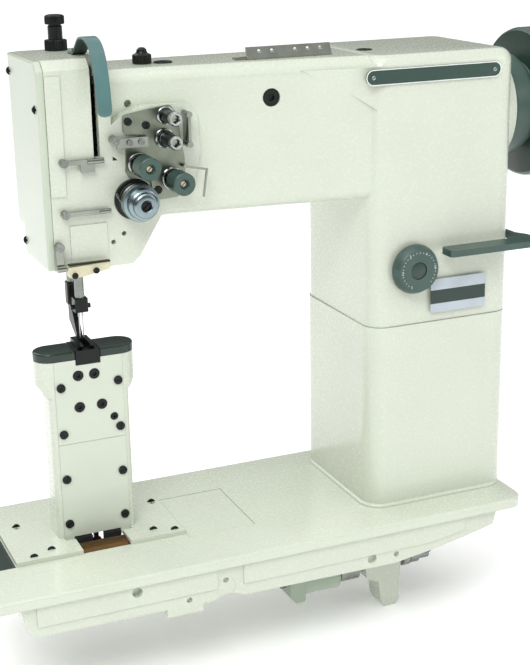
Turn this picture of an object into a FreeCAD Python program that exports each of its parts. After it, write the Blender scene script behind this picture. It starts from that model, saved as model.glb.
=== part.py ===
import FreeCAD, Part
import math
import os
import re
import Sketcher

# Post-bed leather sewing machine head with two needles.
# X runs from the needles towards the handwheel, Y to the back, Z up.
# The origin is on the needle axis, in the plane where the bed lip rests on the table.

os.makedirs("parts", exist_ok=True)
doc = FreeCAD.newDocument("post_bed_sewing_machine")
Vector = FreeCAD.Vector
Rotation = FreeCAD.Rotation

# ---------------------------------------------------------------- driving dimensions
# Heights in the sheet are measured from the bed surface, which is bed_top above the origin.
SIZES = [
    ("bed_top", 9, "thickness of the bed lip"),
    ("bed_left", -130, "left end of the bed"),
    ("bed_right", 401, "right end of the bed"),
    ("bed_front", -109.5, "front edge of the bed"),
    ("bed_back", 90.5, "back edge of the bed"),
    ("bed_corner", 18, "corner radius of the bed"),
    ("skirt_inset", 5, "skirt behind the lip"),
    ("skirt_left", -96, "left end of the skirt"),
    ("skirt_right", 371, "right end of the skirt"),
    ("skirt_wall", 7, "wall of the skirt"),
    ("post_high", 180, "needle plate above the bed"),
    ("post_half", 36.7, "half width of the post"),
    ("post_deep", 15, "half depth of the post"),
    ("post_wall", 5.5, "wall of the post"),
    ("post_cover_half", 31.2, "half width of the front covers"),
    ("post_cover_thick", 3, "thickness of the post covers"),
    ("cover_seam", 94.2, "seam between the front covers"),
    ("head_half", 45.5, "half width of the post head"),
    ("head_floor", 139, "start of the wide post head"),
    ("flange_left", -83.5, "left end of the post flange"),
    ("flange_right", 74, "right end of the post flange"),
    ("flange_front", -45.5, "front of the post flange"),
    ("flange_back", 34.8, "back of the post flange"),
    ("flange_thick", 4, "thickness of the post flange"),
    ("hook_offset", 14, "hook shaft from the needle line"),
    ("hook_radius", 11.4, "radius of the hook"),
    ("hook_shaft_radius", 5, "radius of the hook shaft"),
    ("needle_gauge", 3.2, "distance between the needles"),
    ("column_left", 252.5, "left side of the column"),
    ("column_right", 401, "right side of the column"),
    ("column_front", -70, "front of the column"),
    ("column_back", 75, "back of the column"),
    ("column_corner", 20, "corner radius of the column"),
    ("column_wall", 7, "wall of the column"),
    ("riser_high", 178, "top of the riser"),
    ("riser_step", 1.5, "riser proud of the arm column"),
    ("arm_top", 424, "top of the arm"),
    ("arm_bottom", 298, "bottom of the arm"),
    ("arm_back", 45, "back of the arm"),
    ("arm_front_left", -43, "front of the arm beside the head"),
    ("arm_front_right", -63, "front of the arm beside the column"),
    ("face_left", -39, "outer face of the face plate"),
    ("face_thick", 6, "thickness of the face plate"),
    ("head_front", -52, "front of the machine head"),
    ("head_right", 21, "right side of the upper head"),
    ("head_top", 436, "top of the machine head"),
    ("head_low", 263, "bottom of the machine head"),
    ("head_back_low", 289, "bottom of the head behind the presser bar"),
    ("lower_head_top", 352, "top of the lower head block"),
    ("lower_head_right", 62, "right side of the lower head block"),
    ("shaft_high", 363, "main shaft above the bed"),
    ("shaft_radius", 9.5, "radius of the main shaft"),
    ("lower_high", -66, "lower shaft relative to the bed surface"),
    ("lower_radius", 7, "radius of the lower shaft"),
    ("run_fit", 0.06, "running clearance on radius"),
    ("crank_x", 15, "left face of the crank"),
    ("crank_reach", 18, "radius of the crank"),
    ("pulley_x", 335, "timing pulleys"),
    ("pulley_radius", 25, "radius of the timing pulleys"),
    ("belt_thick", 3, "thickness of the timing belt"),
    ("belt_wide", 16, "width of the timing belt"),
    ("wheel_x", 446, "left face of the handwheel rim"),
    ("wheel_radius", 71, "radius of the handwheel"),
    ("needle_bar_radius", 4.2, "radius of the needle bar"),
    ("needle_tip", 184, "needle tips at rest"),
    ("clamp_low", 212, "bottom of the needle clamp"),
    ("presser_y", 28, "presser bar behind the needle"),
    ("presser_radius", 3.5, "radius of the presser bar"),
    ("rock_y", -30, "feed shaft in front of the needle"),
    ("rock_high", -9.5, "feed shaft relative to the bed surface"),
    ("rock_radius", 7, "radius of the feed shaft"),
    ("regulator_y", -40, "regulator shaft in front of the needle"),
    ("regulator_high", -74, "regulator shaft relative to the bed surface"),
    ("regulator_radius", 6, "radius of the regulator shaft"),
    ("slot_x", 7.7, "centre of the take-up slot"),
    ("lever_y", 5, "take-up lever pivot behind the needle"),
    ("lever_high", 400, "take-up lever pivot above the bed"),
    ("lever_reach", 75, "reach of the take-up lever"),
    ("lever_lift", 24, "take-up lever above level at rest, in degrees"),
    ("plate_thick", 2.5, "thickness of the tension plate"),
    ("plate_front", -54.6, "front of the tension plate"),
    ("main_left_x", 42.5, "left main tension"),
    ("main_left_z", 348, "left main tension"),
    ("main_right_x", 71.4, "right main tension"),
    ("main_right_z", 333, "right main tension"),
    ("pre_up_x", 67.2, "upper pre-tension"),
    ("pre_up_z", 386.4, "upper pre-tension"),
    ("pre_low_x", 65.6, "lower pre-tension"),
    ("pre_low_z", 367.6, "lower pre-tension"),
    ("check_x", 37.4, "check spring regulator"),
    ("check_z", 318.4, "check spring regulator"),
    ("knob_radius", 9.6, "radius of the main tension knobs"),
    ("main_reach", 31, "main tension from the plate to the end of its knob"),
    ("pre_up_reach", 27, "upper pre-tension from the plate to the end of its nut"),
    ("pre_low_reach", 31, "lower pre-tension from the plate to the end of its nut"),
    ("dial_x", 293.8, "stitch dial"),
    ("dial_z", 232, "stitch dial"),
    ("dial_radius", 23, "radius of the stitch dial"),
    ("handle_z", 247, "reverse lever handle"),
    ("pivot_y", -22, "reverse lever pivot"),
    ("pivot_z", 250, "reverse lever pivot"),
]

sheet = doc.addObject("Spreadsheet::Sheet", "Sizes")
for row, (alias, value, meaning) in enumerate(SIZES, start=1):
    sheet.set("A%d" % row, alias)
    sheet.set("B%d" % row, str(value))
    sheet.set("C%d" % row, meaning)
    sheet.setAlias("B%d" % row, alias)
doc.recompute()

ALIASES = set(alias for alias, value, meaning in SIZES)
WORD = re.compile(r"[a-z][a-z_0-9]*")
nodes = {}


# ---------------------------------------------------------------- helpers
def formula(value):
    """The expression for a size, with every alias read from the sheet."""
    return WORD.sub(lambda word: "Sizes." + word.group(0) if word.group(0) in ALIASES else word.group(0), str(value))


def bind(thing, prop, value):
    thing.setExpression(prop, formula(value))


def number(value):
    """The present value of a formula, for shapes that are not bound to the sheet."""
    text = WORD.sub(lambda word: repr(float(getattr(sheet, word.group(0)))) if word.group(0) in ALIASES
                    else word.group(0), str(value))
    total = doc.addObject("App::FeaturePython", "Reader")
    total.addProperty("App::PropertyFloat", "Value")
    total.setExpression("Value", text)
    total.recompute()
    result = total.Value
    doc.removeObject(total.Name)
    return result


def minus(high, low):
    return "(%s) - (%s)" % (high, low)


def up(height):
    """A height above the bed surface, as a height above the origin."""
    return "bed_top + (%s)" % height


TURNS = {
    "+z": Rotation(),
    "-z": Rotation(Vector(1, 0, 0), 180),
    "+x": Rotation(Vector(0, 1, 0), 90),
    "-x": Rotation(Vector(0, 1, 0), -90),
    "+y": Rotation(Vector(1, 0, 0), -90),
    "-y": Rotation(Vector(1, 0, 0), 90),
}


def locate(thing, x, y, z, turn=Rotation()):
    """Puts an object at a point whose height is measured from the bed surface."""
    thing.Placement = FreeCAD.Placement(Vector(), turn)
    bind(thing, "Placement.Base.x", x)
    bind(thing, "Placement.Base.y", y)
    bind(thing, "Placement.Base.z", up(z))
    return thing


def block(x_span, y_span, z_span):
    """A box from its three spans."""
    box = doc.addObject("Part::Box", "Block")
    bind(box, "Length", minus(x_span[1], x_span[0]))
    bind(box, "Width", minus(y_span[1], y_span[0]))
    bind(box, "Height", minus(z_span[1], z_span[0]))
    return locate(box, x_span[0], y_span[0], z_span[0])


def rod(way, x, y, z, radius, length):
    """A cylinder that starts at a point and runs along one of the axes."""
    cylinder = doc.addObject("Part::Cylinder", "Rod")
    bind(cylinder, "Radius", radius)
    bind(cylinder, "Height", length)
    return locate(cylinder, x, y, z, TURNS[way])


def cone(way, x, y, z, radius_start, radius_end, length):
    body = doc.addObject("Part::Cone", "Cone")
    bind(body, "Radius1", radius_start)
    bind(body, "Radius2", radius_end)
    bind(body, "Height", length)
    return locate(body, x, y, z, TURNS[way])


def fuse(*pieces):
    if len(pieces) == 1:
        return pieces[0]
    union = doc.addObject("Part::MultiFuse", "Union")
    union.Shapes = list(pieces)
    union.Refine = True
    return union


def cut(base, *tools):
    result = doc.addObject("Part::Cut", "Cut")
    result.Base = base
    result.Tool = fuse(*tools)
    result.Refine = True
    return result


def group(*pieces):
    """Separate solids of one kind that share a node."""
    compound = doc.addObject("Part::Compound", "Group")
    compound.Links = list(pieces)
    return compound


def edge_numbers(shape, wanted):
    return [index for index, edge in enumerate(shape.Edges, start=1) if wanted(edge)]


def rounded(base, radius, wanted):
    """Rounds the edges of an object that the test picks."""
    doc.recompute()
    fillet = doc.addObject("Part::Fillet", "Rounded")
    fillet.Base = base
    amount = number(radius)
    fillet.Edges = [(index, amount, amount) for index in edge_numbers(base.Shape, wanted)]
    return fillet


def along(axis):
    """A test for straight edges parallel to X, Y or Z."""
    direction = {"x": Vector(1, 0, 0), "y": Vector(0, 1, 0), "z": Vector(0, 0, 1)}[axis]

    def test(edge):
        return edge.Curve.TypeId == "Part::GeomLine" and abs(edge.Curve.Direction.dot(direction)) > 0.999
    return test


def near(**bounds):
    """A test for the middle of an edge: x_min, x_max and so on, heights from the bed surface."""
    limits = {key: number(value) for key, value in bounds.items()}

    def test(edge):
        middle = edge.valueAt((edge.FirstParameter + edge.LastParameter) / 2)
        place = {"x": middle.x, "y": middle.y, "z": middle.z - number("bed_top")}
        for key, limit in limits.items():
            axis, side = key.split("_")
            if side == "min" and place[axis] < limit:
                return False
            if side == "max" and place[axis] > limit:
                return False
        return True
    return test


def both(first, second):
    return lambda edge: first(edge) and second(edge)


def plane_of(body, role):
    return [feature for feature in body.Origin.OriginFeatures if feature.Role == role][0]


def outline(body, role, points):
    """A closed outline of straight lines whose corners are bound to the sheet."""
    sketch = body.newObject("Sketcher::SketchObject", "Outline")
    sketch.AttachmentSupport = [(plane_of(body, role), "")]
    sketch.MapMode = "FlatFace"
    places = [(number(across), number(along_up)) for across, along_up in points]
    count = len(points)
    for index in range(count):
        start = Vector(places[index][0], places[index][1], 0)
        end = Vector(places[(index + 1) % count][0], places[(index + 1) % count][1], 0)
        sketch.addGeometry(Part.LineSegment(start, end), False)
    for index in range(count):
        sketch.addConstraint(Sketcher.Constraint("Coincident", index, 2, (index + 1) % count, 1))
    for index, (across, along_up) in enumerate(points):
        for kind, value, place in (("DistanceX", across, places[index][0]),
                                   ("DistanceY", along_up, places[index][1])):
            datum = sketch.addConstraint(Sketcher.Constraint(kind, -1, 1, index, 1, place))
            sketch.setExpression("Constraints[%d]" % datum, formula(value))
    return sketch


def slab(plane, points, low, high, corner=None, picks=None):
    """A pad of an outline: plane xy from low to high in Z, xz in Y, yz in X. Corners can be rounded."""
    body = doc.addObject("PartDesign::Body", "Slab")
    role = {"xy": "XY_Plane", "xz": "XZ_Plane", "yz": "YZ_Plane"}[plane]
    pad_sketch = outline(body, role, points)
    pad = body.newObject("PartDesign::Pad", "Pad")
    pad.Profile = pad_sketch
    bind(pad, "Length", minus(high, low))
    doc.recompute()
    if corner is not None:
        axis = {"xy": "z", "xz": "y", "yz": "x"}[plane]
        test = along(axis)
        if picks is not None:
            test = both(test, picks)
        fillet = body.newObject("PartDesign::Fillet", "Corners")
        fillet.Base = (pad, ["Edge%d" % index for index in edge_numbers(pad.Shape, test)])
        bind(fillet, "Radius", corner)
        body.Tip = fillet
    if plane == "xy":
        locate(body, 0, 0, low)
    elif plane == "xz":
        locate(body, 0, high, 0)
    else:
        locate(body, low, 0, 0)
    return body


def turned(way, x, y, z, points):
    """A turned piece: outline points are (radius, distance along the axis)."""
    body = doc.addObject("PartDesign::Body", "Turned")
    sketch = outline(body, "XZ_Plane", points)
    revolution = body.newObject("PartDesign::Revolution", "Revolution")
    revolution.Profile = sketch
    revolution.ReferenceAxis = (sketch, ["V_Axis"])
    revolution.Angle = 360
    return locate(body, x, y, z, TURNS[way])


def span(low, high):
    return (low, high)


def node(name, thing):
    """Gives a finished sub-part its name."""
    thing.Label = name
    nodes[name] = thing
    return thing


def screw_set(way, places, radius, head, length):
    """Round-headed screws: heads start at the given points and the shanks run back."""
    back = {"+": "-", "-": "+"}[way[0]] + way[1]
    made = []
    for x, y, z in places:
        made.append(fuse(rod(way, x, y, z, radius, head),
                         rod(back, x, y, z, "(%s) * 0.45" % radius, length)))
    return made


def holes(way, places, radius, depth):
    """Round holes that run from the given points along a direction."""
    return [rod(way, x, y, z, radius, depth) for x, y, z in places]


# ---------------------------------------------------------------- bed
def make_bed():
    lip = slab("xy", [("bed_left", "bed_front"), ("bed_right", "bed_front"), ("bed_right", "bed_back"),
                      ("bed_left", "bed_back")], "-bed_top", 0, corner="bed_corner")
    lip = rounded(lip, 3, near(z_min=-0.1))
    side = [("skirt_left", -8), ("skirt_left + 5", -28), ("skirt_left + 10", -39), (34, -40), (34, -48),
            (68, -48), (68, -41), (260, -43), (297, -38), (335, -31), (367, -24), ("skirt_right", -8)]
    skirt = slab("xz", side, "bed_front + skirt_inset", "bed_back - skirt_inset")
    front_skirt = "bed_front + skirt_inset"
    room = block(span("skirt_left + 16", "skirt_right - 12"),
                 span("bed_front + skirt_inset + skirt_wall", "bed_back - skirt_inset - skirt_wall"),
                 span(-60, "-bed_top"))
    arch = rod("+y", 92, "bed_front", -63.5, 26.5, 300)
    skirt = cut(skirt, room, arch)
    panel_left = block(span(-82, 82), span("bed_front + 3.7", front_skirt), span(-29.5, "-bed_top"))
    panel_right = slab("xz", [(107, "-bed_top"), (107, -30), (300, -29), (335, -24), (335, "-bed_top")],
                       "bed_front + 3.7", front_skirt)
    # bearing hangers of the lower shaft and of the feed shaft
    hangers = []
    for middle in (-58, 46, 225, 364):
        hangers.append(block(span(middle - 7, middle + 7), span(-16, 16),
                             span("lower_high - 15", "-bed_top")))
    for middle in (-58, 46):
        hangers.append(block(span(middle - 7, middle + 7), span("rock_y - 13", -16), span(-24, "-bed_top")))
    solid = fuse(lip, skirt, panel_left, panel_right, *hangers)
    openings = [
        block(span(-50, 38.5), span("rock_y - 14", 26), span(-12, 1)),
        block(span(-126, -84), span("flange_front", "flange_back"), span(-3, 1)),
        block(span(76, 140.5), span(-53, 37), span(-3, 1)),
        block(span(274, 354), span(-46, 46), span(-12, 1)),
        block(span(84, 133), span(-45, 29), span(-12, 1)),
    ]
    bores = [rod("+x", -70, 0, "lower_high", 10, 460), rod("+x", -70, "rock_y", "rock_high",
                                                           "rock_radius + run_fit", 130)]
    marks = holes("+y", [(7, "bed_front", -16), (236.5, "bed_front", -33.5)], 4.6, 9)
    marks += holes("+y", [(55, "bed_front", -35), (262, "bed_front", -34), (90, "bed_front", -23)], 2.6, 8)
    recess = rod("+y", 90, "bed_front", -30, 9, 5.3)
    hinge_holes = holes("-y", [(-60, "bed_back + 1", -20), (330, "bed_back + 1", -20)], 4, 16)
    node("bed_casting", cut(solid, recess, *(openings + bores + marks + hinge_holes)))
    node("bed_slide_plate", block(span(-125.7, -84.3), span("flange_front + 0.3", "flange_back - 0.3"),
                                  span(-3, -0.8)))
    cover = block(span(76.3, 140.2), span(-52.7, 36.7), span(-3, -0.6))
    node("bed_cover_plate", cover)


# ---------------------------------------------------------------- post
def stadium(half, deep, low, high):
    """A slab with round ends, centred on the needle axis."""
    straight = "(%s) - (%s)" % (half, deep)
    return fuse(block(span("-(%s)" % straight, straight), span("-(%s)" % deep, deep), span(low, high)),
                rod("+z", straight, 0, low, deep, minus(high, low)),
                rod("+z", "-(%s)" % straight, 0, low, deep, minus(high, low)))


def make_post():
    top = "post_high - 8"
    flange = slab("xy", [("flange_left", "flange_front"), (-22.5, "flange_front"), (-22.5, "-post_deep"),
                         (22, "-post_deep"), (22, "flange_front"), ("flange_right", "flange_front"),
                         ("flange_right", "flange_back"), ("flange_left", "flange_back")], 0,
                  "flange_thick")
    trunk = slab("xy", [("-post_half", "-post_deep"), ("post_half", "-post_deep"),
                        ("post_half", "post_deep"),
                        ("-post_half", "post_deep")], "flange_thick - 1", "head_floor", corner=5)
    shoulder = cut(stadium("head_half", "post_deep", "head_floor - 0.2", "head_floor + 12"),
                   slab("xz", [("post_half", "head_floor - 1"), ("head_half + 1", "head_floor - 1"),
                               ("head_half + 1", "head_floor + 12.5")], -20, 20),
                   slab("xz", [("-post_half", "head_floor - 1"), ("-head_half - 1", "head_floor + 12.5"),
                               ("-head_half - 1", "head_floor - 1")], -20, 20))
    head = stadium("head_half", "post_deep", "head_floor + 12", top)
    solid = fuse(flange, trunk, shoulder, head)
    seat_front = "-post_deep + post_cover_thick"
    seat_back = "post_deep - post_cover_thick"
    inner = "post_half - post_wall"
    front_seat = block(span("-post_cover_half - 0.1", "post_cover_half + 0.1"), span(-20, seat_front),
                       span(0.3, "post_high"))
    back_seat = block(span("-post_cover_half - 0.1", "post_cover_half + 0.1"), span(seat_back, 20),
                      span("flange_thick + 1", 150))
    lower_room = block(span("-(%s) + 3" % inner, "(%s) - 3" % inner),
                       span("%s + 2.4" % seat_front, "%s - 2.4" % seat_back),
                       span("flange_thick + 14", 126))
    front_window = block(span(-23, 23), span(-20, 0), span("flange_thick + 14", 126))
    back_window = block(span(-23, 23), span(0, 20), span("flange_thick + 14", 126))
    hook_room = stadium("hook_offset + hook_radius + 2.7", "hook_radius - 1.5", 139.5, "post_high")
    hook_wells = [rod("+z", sign + "hook_offset", 0, 138, "hook_radius + 0.5", 50) for sign in ("-", "")]
    feed_way = block(span(-5.5, 5.5), span(-11.6, -1.5), span(-2, 169))
    bottom_way = block(span(-22, 22), span(-11.9, 11.9), span(-1, 8))
    bores = [rod("+z", sign + "hook_offset", 0, -1, 7.5, 160) for sign in ("-", "")]
    rock_way = block(span(-22.5, 22), span(-50, -11.9), span(-1, 12))
    plate_seat = block(span(-11.2, 11.2), span(-16, 16), span("post_high - 13", "post_high"))
    flange_places = [(-66, -36), (66, -36), (-66, 25), (66, 25), (-48, -28), (48, -28)]
    flange_holes = [rod("+z", x, y, -1, 2.4, 8) for x, y in flange_places]
    cover_places = [(x, z) for x in (-26, 26.5) for z in (17.6, 61, 104.2, 148)]
    cover_holes = holes("+y", [(x, "-post_deep", z) for x, z in cover_places], 1.9, 10)
    back_places = [(x, z) for x in (-26, 26.5) for z in (14, 142)]
    cover_holes += holes("-y", [(x, "post_deep", z) for x, z in back_places], 1.9, 9)
    housing = cut(solid, front_seat, back_seat, lower_room, front_window, back_window, hook_room, feed_way,
                  bottom_way, rock_way, plate_seat, *(bores + flange_holes + cover_holes))
    node("post_housing", cut(housing, *hook_wells))

    half = "post_cover_half"
    plug_places = [(-9.7, 157.2), (5.1, 157.2), (-9.9, 127.7), (10.6, 127.7)]
    upper_holes = holes("+y", [(x, -20, z) for x, z in plug_places], 4.9, 10)
    upper_holes += holes("+y", [(21.4, -20, 114.2)], 3.7, 10)
    upper_holes += holes("+y", [(x, -20, z) for x, z in cover_places if z > 100], 2, 10)
    upper = block(span("-" + half, half), span("-post_deep", seat_front), span("cover_seam + 0.15", top))
    notch = block(span(-11.4, 11.4), span(-20, 0), span("post_high - 13.2", "post_high"))
    node("post_front_cover_upper", cut(upper, notch, *upper_holes))
    lower = block(span("-" + half, half), span("-post_deep", seat_front), span(0.4, "cover_seam - 0.15"))
    lower_notch = block(span(-22.5, 22), span(-20, 0), span(0, 4))
    lower_holes = holes("+y", [(x, -20, z) for x, z in cover_places if z < 100], 2, 10)
    node("post_front_cover_lower", cut(lower, lower_notch, *lower_holes))
    back = block(span("-" + half, half), span(seat_back, "post_deep"), span("flange_thick + 1.2", 149.8))
    node("post_rear_cover", cut(back, *holes("-y", [(x, 20, z) for x, z in back_places], 2, 10)))

    screws = screw_set("-y", [(x, "-post_deep", z) for x, z in cover_places], 4, 1.6, 8)
    screws += screw_set("+y", [(x, "post_deep", z) for x, z in back_places], 4, 1.6, 7)
    screws += [fuse(rod("+z", x, y, "flange_thick", 4, 1.4),
                    rod("-z", x, y, "flange_thick", 2.3, "flange_thick"))
               for x, y in flange_places]
    node("post_screws", group(*screws))


def make_post_top():
    """Hook covers, throat plate, bobbin cases and hooks."""
    low = "post_high - 8"
    for name, sign, start, end in (("hook_cover_left", "-", "-11.7", "0"),
                                   ("hook_cover_right", "", "11.7", "0")):
        shell = stadium("head_half", "post_deep", "%s + 0.1" % low, "post_high")
        shell = rounded(shell, 1.5, near(z_min="post_high - 0.1"))
        if sign == "-":
            keep = block(span(-60, -11.7), span(-20, 20), span(100, 200))
        else:
            keep = block(span(11.7, 60), span(-20, 20), span(100, 200))
        hollow = cut(stadium("head_half - 2", "post_deep - 2", "post_high - 9", "post_high - 2.2"),
                     block(span(-14, 14), span(-20, 20), span(100, 200)))
        half_shell = doc.addObject("Part::Common", "Half")
        half_shell.Base = shell
        half_shell.Tool = keep
        node(name, cut(half_shell, hollow))
    plate = fuse(block(span(-11, 11), span(-15.4, 15.4), span("post_high - 3", "post_high")),
                 block(span(-11, 11), span(-15.4, -13.4), span("post_high - 12.8", "post_high - 2")),
                 block(span(-11, 11), span(13.4, 15.4), span("post_high - 12.8", "post_high - 2")))
    feed_slot = block(span(-7.6, 7.6), span(-8.5, 8.5), span("post_high - 5", "post_high + 1"))
    node("throat_plate", cut(plate, feed_slot))

    cases = []
    for sign in ("-", ""):
        middle = sign + "hook_offset"
        case = fuse(rod("+z", middle, 0, 157.4, "hook_radius - 3.2", 10.6),
                    rod("+z", middle, 0, 168, 3, 2.2))
        ring = rod("+z", middle, 0, 163, "hook_radius - 4.6", 5.2)
        core = rod("+z", middle, 0, 162, 3.4, 8)
        cases.append(cut(case, cut(ring, core)))
    node("bobbin_cases", group(*cases))

    for name, sign in (("hook_left", "-"), ("hook_right", "")):
        middle = sign + "hook_offset"
        cup = rod("+z", middle, 0, 150, "hook_radius", 15)
        inside = rod("+z", middle, 0, 157, "hook_radius - 2.6", 20)
        mouth = block(span("%s - 5" % middle, "%s + 5" % middle), span(4, 30), span(159, 170))
        hook = cut(cup, inside, mouth)
        stem = fuse(rod("+z", middle, 0, 141, 6.8, 9), rod("+z", middle, 0, "lower_high + 19",
                                                           "hook_shaft_radius", 203))
        pinion = fuse(cone("+z", middle, 0, "lower_high + 13.3", 6.3, 8.7, 4.6),
                      rod("+z", middle, 0, "lower_high + 17.9", 8, 9))
        node(name, fuse(hook, stem, pinion))


# ---------------------------------------------------------------- under the bed
def make_lower_drive():
    shaft = rod("+x", -70, 0, "lower_high", "lower_radius", 444)
    node("lower_shaft", shaft)
    gears = []
    for way, start in (("+x", "hook_offset + 6.2"), ("-x", "-hook_offset - 6.2")):
        back = "hook_offset + 9.2" if way == "+x" else "-hook_offset - 9.2"
        wheel = fuse(cone(way, start, 0, "lower_high", 12, 17.6, 3),
                     rod(way, back, 0, "lower_high", 17.6, 4),
                     rod(way, back, 0, "lower_high", 11, 9))
        gears.append(cut(wheel, rod(way, 0, 0, "lower_high", "lower_radius + 0.02", 60)))
    node("bevel_gears", group(*gears))
    make_pulley("lower_pulley", "lower_high", "lower_radius + 0.02")

    inner = "lower_radius + run_fit"
    bushes = [cut(rod("+x", start, 0, "lower_high", 9.95, length),
                  rod("+x", start, 0, "lower_high", inner, length))
              for start, length in ((-66, 16), (38, 16), (217, 16), (356, 16))]
    inner = "shaft_radius + run_fit"
    bushes += [cut(rod("+x", start, 0, "shaft_high", 13.9, length),
                   rod("+x", start, 0, "shaft_high", inner, length))
               for start, length in ((28, 24), (240, 18), (396, 17))]
    for sign in ("-", ""):
        middle = sign + "hook_offset"
        for start, length in ((1, 17), (126, 12)):
            bushes.append(cut(rod("+z", middle, 0, start, 7.4, length),
                              rod("+z", middle, 0, start, "hook_shaft_radius + run_fit", length)))
    bushes.append(cut(rod("+z", 0, "presser_y", 268, 6.9, 32),
                      rod("+z", 0, "presser_y", 268, "presser_radius + run_fit", 32)))
    node("bushings", group(*bushes))


def make_pulley(name, height, bore):
    wide = "belt_wide / 2 + 1"
    drum = rod("+x", "pulley_x - (%s)" % wide, 0, height, "pulley_radius", "2 * (%s)" % wide)
    sides = [rod("+x", "pulley_x - (%s) - 2" % wide, 0, height, "pulley_radius + 5", 2),
             rod("+x", "pulley_x + (%s)" % wide, 0, height, "pulley_radius + 5", 2)]
    hub = rod("+x", "pulley_x - (%s) - 8" % wide, 0, height, 15, 10)
    node(name, cut(fuse(drum, hub, *sides), rod("+x", "pulley_x - 30", 0, height, bore, 60)))


def make_belt():
    """A toothed belt around both pulleys, 0.3 mm off their drums."""
    left = "pulley_x - belt_wide / 2"
    outer = "pulley_radius + 0.3 + belt_thick"
    inner = "pulley_radius + 0.3"

    def loop(radius):
        return fuse(rod("+x", left, 0, "shaft_high", radius, "belt_wide"),
                    rod("+x", left, 0, "lower_high", radius, "belt_wide"),
                    block(span(left, "pulley_x + belt_wide / 2"), span("-(%s)" % radius, radius),
                          span("lower_high", "shaft_high")))
    node("timing_belt", cut(loop(outer), loop(inner)))


def make_feed():
    """The feed shaft, its lever up the inside of the post, and the feed dog."""
    shaft = rod("+x", -66, "rock_y", "rock_high", "rock_radius", 120)
    crank = fuse(block(span(-4, 4), span("rock_y", -6), span("rock_high - 5", "rock_high + 5")),
                 rod("+x", -21.6, "rock_y", "rock_high", 12.2, 42.9))
    bar = block(span(-2.2, 2.2), span(-9, -6), span("rock_high - 5", "post_high - 14"))
    foot = block(span(-2.2, 2.2), span(-9, -2.9), span("post_high - 14.5", "post_high - 10"))
    node("feed_rocker", fuse(shaft, crank, bar, foot))
    table = block(span(-6.6, 6.6), span(-5.4, 5.4), span("post_high - 10", "post_high - 1.6"))
    teeth = [slab("yz", [("%s" % start, "post_high - 1.7"), ("%s + 1.5" % start, "post_high - 1.7"),
                         ("%s + 1.2" % start, "post_high - 0.4")], x, "%s + 3" % x)
             for x in ("-6.4", "3.4") for start in (-5, -3, -1, 1, 3)]
    needle_hole = holes("+z", [("needle_gauge / 2", 0, 160), ("-needle_gauge / 2", 0, 160)], 1.1, 30)
    node("feed_dog", cut(fuse(table, *teeth), *needle_hole))


def make_regulator():
    """The regulator shaft below the bed, its housing and its bracket."""
    y, z = "regulator_y", "regulator_high"
    bore = "regulator_radius + run_fit"
    tube = rod("+x", 186, y, z, 15.5, 42)
    end_block = slab("xz", [(174, -62), (174, -84), (180, -91), (190, -91), (190, -62)], "regulator_y - 16",
                     "regulator_y + 16", corner=3)
    web = block(span(176, 224), span("regulator_y - 8", "regulator_y + 8"), span(-66, "-bed_top"))
    plug_face = block(span(174, 190), span("regulator_y - 16", "regulator_y + 16"), span(-66, -60))
    node("shaft_housing", cut(fuse(tube, end_block, web, plug_face), rod("+x", 170, y, z, bore, 80)))
    leg = slab("xz", [(262, "-bed_top"), (300, "-bed_top"), (293, -112), (290, -118), (277, -118),
                      (274, -112),
                      (271, -90), (258, -84), (256, -66), (262, -40)], "regulator_y - 12",
               "regulator_y + 12", corner=2,
               picks=near(z_max=-50))
    spine = block(span(270, 290), span(-30, 17), span("lower_high - 14", "-bed_top"))
    node("bed_bracket", cut(fuse(leg, spine), rod("+x", 250, y, z, bore, 60),
                            rod("+x", 250, 0, "lower_high", "lower_radius + run_fit", 60)))
    shaft = fuse(rod("+x", 170, y, z, "regulator_radius", 161), rod("+x", 231, y, z, 11.5, 20),
                 rod("+x", 301.5, y, z, 9, 7), rod("+x", 310, y, z, 8, 9))
    arm = slab("yz", [("regulator_y + 6", -78), ("regulator_y + 6", -69), (-12, -66), (-12, -72)], 236, 246)
    node("regulator_shaft", fuse(shaft, arm))


# ---------------------------------------------------------------- column and arm
def column_plan(front, back, left, right):
    return [(left, front), (right, front), (right, back), (left, back)]


def make_riser():
    plan = column_plan("column_front - riser_step", "column_back + riser_step", "column_left - riser_step",
                       "column_right")
    body = slab("xy", plan, 0, "riser_high", corner="column_corner")
    foot = slab("xy", column_plan("column_front - riser_step - 3", "column_back + riser_step",
                                  "column_left - riser_step - 3",
                                  "column_right"), 0, 3, corner="column_corner + 2")
    foot = rounded(foot, 2.4, near(z_min=2.9, x_max="column_right - 1", y_max="column_back - 1"))
    room = slab("xy", column_plan("column_front + column_wall", "column_back - column_wall",
                                  "column_left + column_wall",
                                  "column_right - column_wall"), -1, 200,
                corner="column_corner - column_wall")
    node("riser_column", cut(fuse(body, foot), room))


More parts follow.
